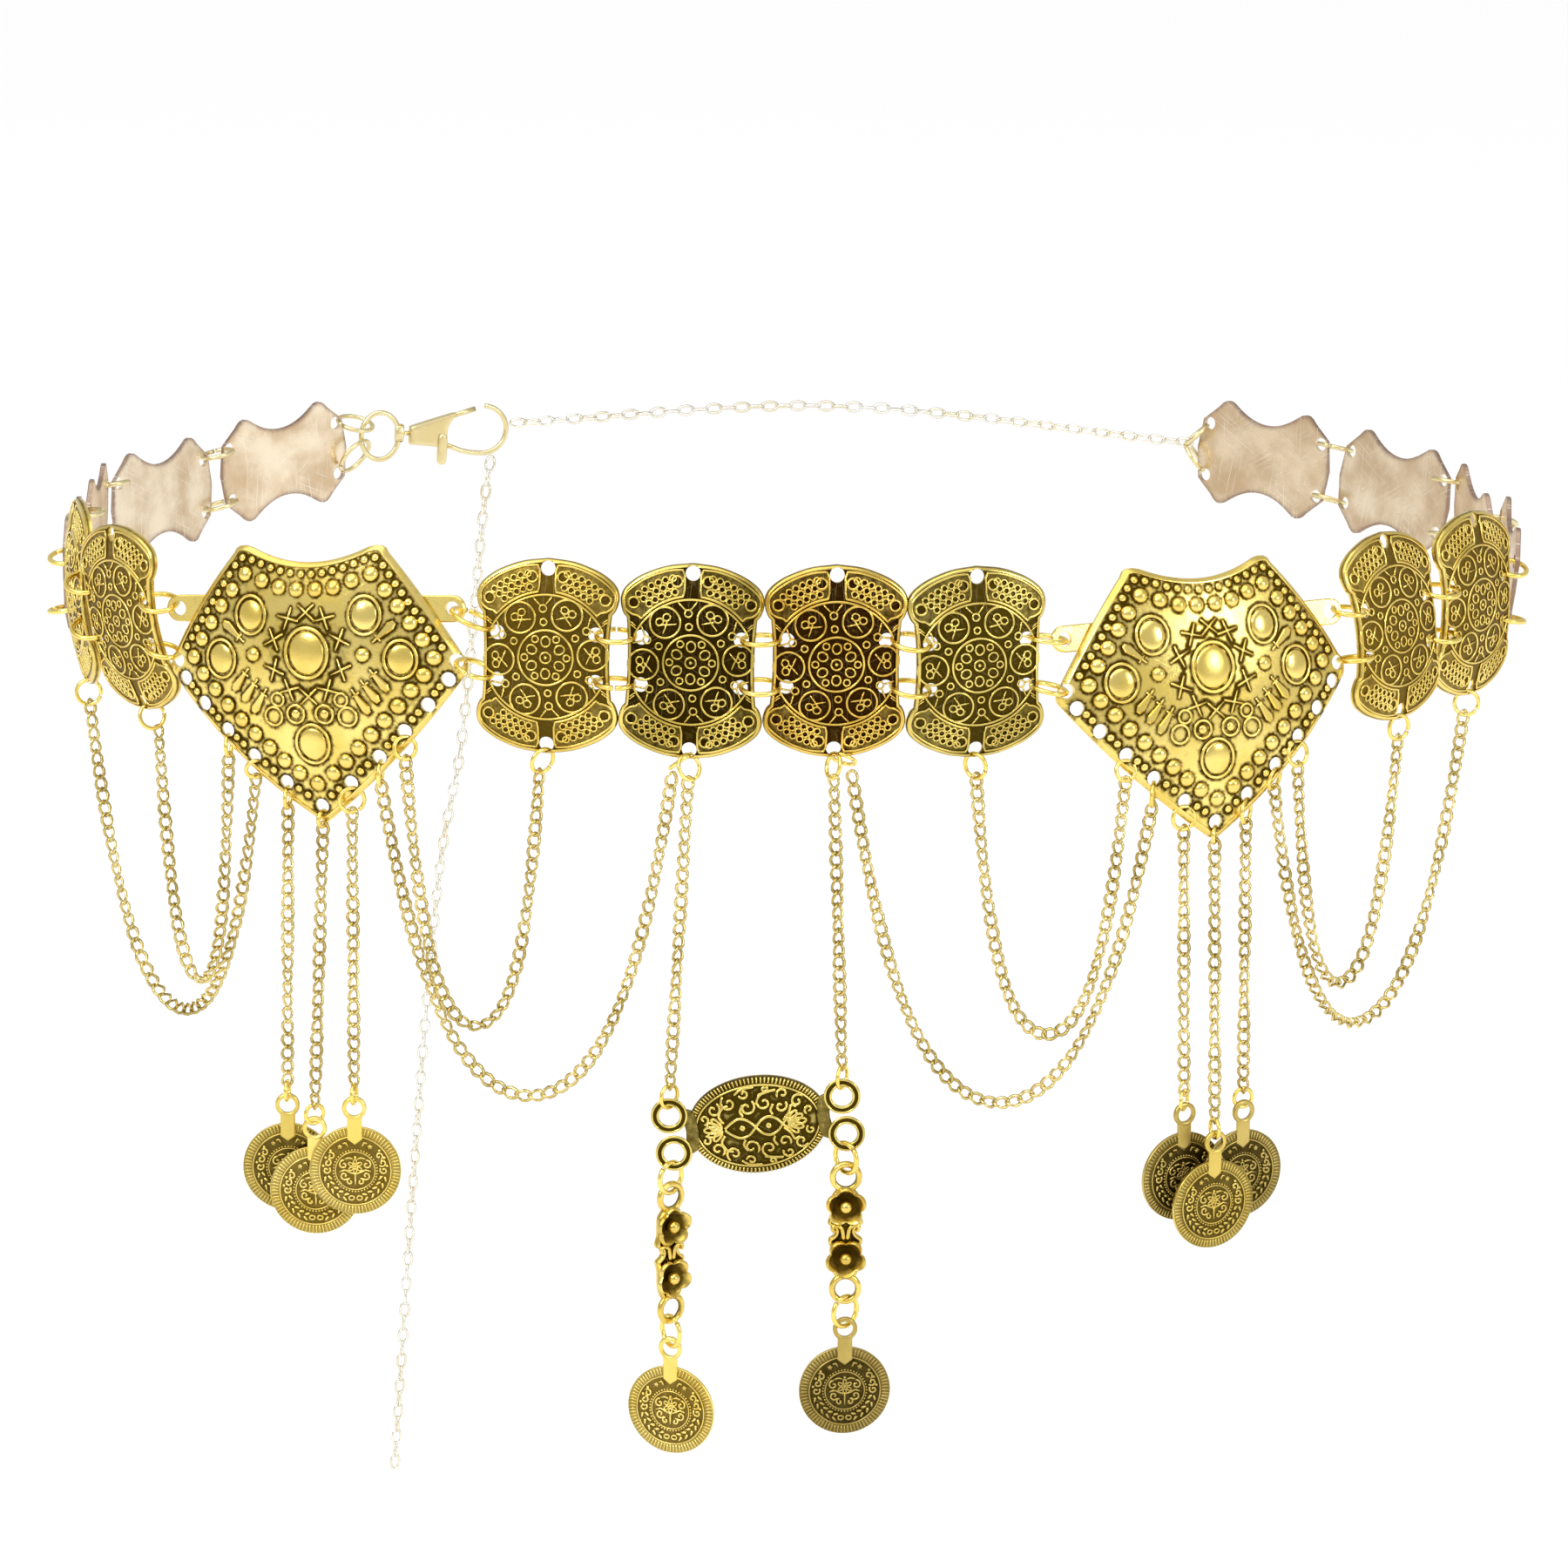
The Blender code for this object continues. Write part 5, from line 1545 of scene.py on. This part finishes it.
bars = {"l": (-22.8, -135.0, 38, -20, 35), "r": (20.8, -129.6, 4, 6, -48)}  # x, z, its turn, the coin's, the ring's
bar = {"length": 29.4, "eyeRadius": 3.3, "eyeWire": 0.72, "thickness": 1.5, "flowers": (-7.6, -21.2),
       "rim": ((0, 0.4), (0.3, 0.0), (0.75, 0.0), (1.0, 0.2)), "coinDrop": 10.5, "slack": 0.8, "bite": 0.25}


def uprightRing(x, top, low, turn):
    centre = Vector((x, ovalLink["place"][1] - loopMiddle, (top + low) / 2))
    along = Matrix.Rotation(math.radians(turn), 3, "Z") @ Vector((0, 1, 0))
    up = Vector((0, 0, 1))
    return openRing(centre, up, along.cross(up), (top - low) / 2, link["wire"], 40)


ovalParts = [makeOvalLink()]
hangers = []
for side, sign in (("l", -1), ("r", 1)):
    ovalParts.append(makeYoke(sign))
    for height in (-1, 1):
        ovalParts.append(eyeShape(sign * ovalLink["eye"][0], height * ovalLink["eye"][1], ovalLink["eyeDepth"],
                                  ovalLink["eyeRadius"], ovalLink["eyeWire"]))
    x, z = bars[side][:2]
    top = ovalEye(sign, -1).z - ovalLink["eyeRadius"] + ovalLink["eyeWire"] + link["wire"] - bar["bite"]
    low = z + bar["eyeRadius"] - bar["eyeWire"] - link["wire"] - bar["slack"]
    hangers.append(uprightRing(x, top, low, 42 * sign))
ovalPiece = painted(placed(joined("oval", ovalParts), inMetres(ovalFrame)), "plateOlive")
ovalPiece = joined("oval", [ovalPiece, bentRings(hangers)])
finished(ovalPiece, "belt", "oval_link")
print("oval link made")


# Flower bars

flower = {"lobes": 5, "corners": 70, "full": 4.9, "notch": 0.27, "fold": 0.75, "wave": 0.3, "bead": (1.6, -1.2),
          # reach and depth of each ring, from the middle of the cup over its lip to the back
          "rings": ((0.0, 0.2), (1.5, 0.1), (2.5, -0.15), (3.3, -0.7), (3.9, -1.4), (4.35, -2.0), (4.75, -2.3),
                    (5.15, -2.0), (5.25, -1.2), (4.6, -0.2), (3.4, 0.5), (0.0, 0.7))}


def petalCup(height, turn):
    # one flower: five round petals folded forward round a bead
    bm = bmesh.new()
    loops = []
    for reach, depth in flower["rings"]:
        loop = []
        share = min(1.0, reach / flower["full"])
        for step in range(flower["corners"]):
            angle = math.tau * step / flower["corners"]
            dent = 1 - abs(math.cos(flower["lobes"] / 2 * (angle - turn))) ** 0.6
            radius = reach * (1 - flower["notch"] * share * share * dent)
            lift = depth + share ** 3 * (flower["fold"] * dent + flower["wave"] * math.sin(2 * angle + height))
            place = Vector((radius * math.cos(angle), lift, height + radius * math.sin(angle)))
            loop.append(bm.verts.new(place * mm))
        loops.append(loop)
    bridged(bm, loops)
    bmesh.ops.remove_doubles(bm, verts=bm.verts, dist=0.00001)
    bmesh.ops.recalc_face_normals(bm, faces=bm.faces)
    cup = meshPiece("cup", bm)

    def patina(x, y, z):
        reach = math.hypot(x, z - height)
        return 0.2 + 0.78 * (1 - clamped((reach - 2.6) / 1.6)) if y < 0.3 and reach < 4.1 else 0.15

    recessBy(cup, patina)
    radius, depth = flower["bead"]
    bpy.ops.object.select_all(action="DESELECT")
    bpy.ops.mesh.primitive_uv_sphere_add(segments=24, ring_count=16, radius=radius * mm,
                                         location=(0, depth * mm, height * mm))
    bead = bpy.context.object
    bpy.ops.object.transform_apply(location=True, rotation=True, scale=True)
    bpy.ops.object.shade_smooth()
    return joined("flower", [smoothed(cup, 55), setRecess(bead, 0.0)])


def makeFlowerBar():
    # the middle of the top eye is the origin
    first, second = bar["flowers"]
    low = -bar["length"] + bar["eyeRadius"]
    # height and half width down the strip, which swells behind each flower
    half = ((-2.9, 1.5), (-3.8, 2.6), (first + 2, 3.6), (first - 2, 3.7), (first - 4.6, 4.4), (-13.4, 3.0),
            (-14.4, 2.5), (-15.4, 3.0), (second + 4.6, 4.3), (second + 2, 3.7), (second - 2, 3.6), (low - 0.2, 2.6),
            (low - 0.8, 1.5))
    right = smoothLine([(x, z) for z, x in half], 4)
    outline = smoothCorners(right + mirrored(right))
    rim = pointTree(outline)

    def sunk(x, z):
        return 0.15 + 0.5 * clamped((rim.find((x, z, 0))[2] - 0.7) / 0.8)

    strip = castBody("strip", outline, [], bar["rim"], bar["thickness"], 0.45, sunk,
                     lambda x, z: 0.3 + 0.65 * clamped(sunk(x, z) / 0.6))
    parts = [shifted(strip, -0.35), petalCup(first, math.pi / 2), petalCup(second, -math.pi / 2)]
    for height in (0, -bar["length"]):
        ring = circle(0, height, bar["eyeRadius"], 40)
        ring = wires("eye", [(atDepth(ring, 0), bar["eyeWire"] + 0.12, True)], 3)
        inner = bar["eyeRadius"] - bar["eyeWire"]
        parts.append(recessBy(ring, lambda x, y, z: 0.6 * clamped(1 - (math.hypot(x, z - height) - inner) / 0.5)))
    knot = []  # the small keyhole and its two curls between the flowers
    for sign in (-1, 1):
        curl = smoothLine([(sign * x, z) for x, z in ((0.5, -16.2), (0.7, -14.6), (1.0, -13.4), (2.3, -12.6),
                                                      (3.3, -13.2), (2.9, -14.3))])
        knot.append((atDepth(curl, -0.35), 0.55, False))
    return joined("flowerBar", parts + [setRecess(wires("knot", knot, 2), 0.1)])


barShape = makeFlowerBar()
for side, (x, z, turn, coinTurn, ringTurn) in bars.items():
    top = Vector((x, ovalLink["place"][1] - loopMiddle, z))
    piece = painted(duplicated(barShape, "flowerBar"), "plateGold")
    placed(piece, Matrix.Translation(top * mm) @ Matrix.Rotation(math.radians(turn), 4, "Z"))
    low = z - bar["length"]
    ringTop = low - bar["eyeRadius"] + bar["eyeWire"] + link["wire"] - bar["bite"]
    ringLow = low - bar["coinDrop"] + coins["eyeInner"] - link["wire"] - bar["slack"]
    piece = joined("flowerBar", [piece, bentRings([uprightRing(x, ringTop, ringLow, ringTurn)])])
    finished(piece, f"bar_{side}_body", f"flower_bar_{side}")
    eye = top - Vector((0, 0, bar["length"] + bar["coinDrop"]))
    placeCoin(f"coin_centre_{side}", eye, coinTurn, f"coin_centre_{side}_body")
for shape in (barShape, coinShape):
    bpy.data.objects.remove(shape)
print("flower bars made")


# Swivel clasp

def makeBoss():
    # the oval block in the loop's side that the pin turns in
    radius, long, x, z = clasp["boss"]
    middle = (x * mm, 0, z * mm)
    bpy.ops.object.select_all(action="DESELECT")
    bpy.ops.mesh.primitive_cylinder_add(vertices=32, radius=radius * mm, depth=long * mm, location=middle,
                                        rotation=(0, math.pi / 2, 0))
    boss = bpy.context.object
    bpy.ops.object.transform_apply(location=True, rotation=True, scale=True)
    bpy.ops.object.mode_set(mode="EDIT")
    bpy.ops.mesh.select_all(action="SELECT")
    bpy.ops.transform.resize(value=(1, 0.8, 1.5), center_override=middle)
    bpy.ops.mesh.bevel(offset=0.6 * mm, segments=4, affect="EDGES")
    bpy.ops.object.mode_set(mode="OBJECT")
    return smoothed(boss, 30)


def makeClaspLoop():
    start, end, wire = clasp["pin"]
    height = clasp["boss"][3]
    lines = [(atDepth(oval(0, 0, *clasp["loop"], 44), 0), clasp["loopWire"], True),
             ([(start, 0, height), (end, 0, height)], wire, False)]
    return joined("claspLoop", [wires("loop", lines, 3), makeBoss()])


def makeClaspHook():
    body = castBody("claspBody", smoothCorners(clasp["body"]), [], clasp["rim"], clasp["thickness"], 0.8)
    left, right, foot, head = clasp["lever"]
    lever = [(left, foot + 0.7), (left + 0.7, foot), (right - 0.7, foot), (right, foot + 0.7), (right, head),
             (left, head)]
    lever = castBody("lever", smoothCorners(lever), [], clasp["leverRim"], clasp["leverThickness"], 0.8)
    hook = [*clasp["hookFoot"], *arc(clasp["hook"], clasp["hookRadius"], -90, 88, 26)]
    lines = [(atDepth(points, 0), clasp["wire"], False) for points in (hook, clasp["arm"])]
    return joined("claspHook", [shifted(body, -clasp["thickness"] / 2), shifted(lever, clasp["leverDepth"]),
                                wires("hook", lines, 3)])


for node, piece in (("clasp_loop", makeClaspLoop()), ("clasp_hook", makeClaspHook())):
    painted(placed(setRecess(piece, 0.1), inMetres(claspFrame())), "claspGold")
    finished(piece, "belt", node)
print("clasp made")


# Pale floor and soft studio light

studio = {"floor": -0.335, "paper": (0.95, 0.95, 0.95), "sky": 0.66, "backdrop": 0.98, "sun": 1.3, "softness": 70,
          "sunTilt": (18, -12), "aim": (0, 0, -0.08), "keyBox": ((-1.3, -1.6, 1.3), (0.5, 0.5), 16),
          "fillBox": ((1.6, -1.4, 0.7), (0.5, 0.7), 10)}

bpy.ops.object.select_all(action="DESELECT")
bpy.ops.mesh.primitive_plane_add(size=30, location=(0, 0, studio["floor"]))
floor = bpy.context.object
floor.name = "studioFloor"
paper = bpy.data.materials.new("palePaper")
paper.use_nodes = True
paperShader = paper.node_tree.nodes["Principled BSDF"]
paperShader.inputs["Roughness"].default_value = 0.9
speckle = newNode(paper.node_tree, "ShaderNodeTexNoise", -400, 0, Scale=3, Detail=4)
paperColour = mixColour(paper.node_tree, -200, 0, speckle.outputs["Fac"], studio["paper"],
                        tuple(value * 0.985 for value in studio["paper"]))
paper.node_tree.links.new(paperColour, paperShader.inputs["Base Color"])
floor.data.materials.append(paper)


def softBox(name):
    place, size, power = studio[name]
    bpy.ops.object.light_add(type="AREA", location=place)
    lamp = bpy.context.object
    lamp.name = name
    lamp.data.shape = "RECTANGLE"
    lamp.data.size, lamp.data.size_y = size
    lamp.data.energy = power
    lamp.rotation_euler = (Vector(studio["aim"]) - Vector(place)).to_track_quat("-Z", "Y").to_euler()


softBox("keyBox")
softBox("fillBox")
bpy.ops.object.light_add(type="SUN", location=(0, 0, 2))
overhead = bpy.context.object
overhead.name = "overheadLight"
overhead.data.energy = studio["sun"]
overhead.data.angle = math.radians(studio["softness"])
overhead.rotation_euler = (*(math.radians(angle) for angle in studio["sunTilt"]), 0)
world = bpy.data.worlds.new("studioWorld")
bpy.context.scene.world = world
world.use_nodes = True
sky = world.node_tree.nodes["Background"]
sky.inputs["Color"].default_value = (1, 1, 1, 1)
# the backdrop past the floor is as pale as the floor
rays = newNode(world.node_tree, "ShaderNodeLightPath", -500, 0)
backdrop = spread(world.node_tree, -250, 0, rays.outputs["Is Camera Ray"], 0, 1, studio["sky"], studio["backdrop"])
world.node_tree.links.new(backdrop, sky.inputs["Strength"])
print("studio lit")
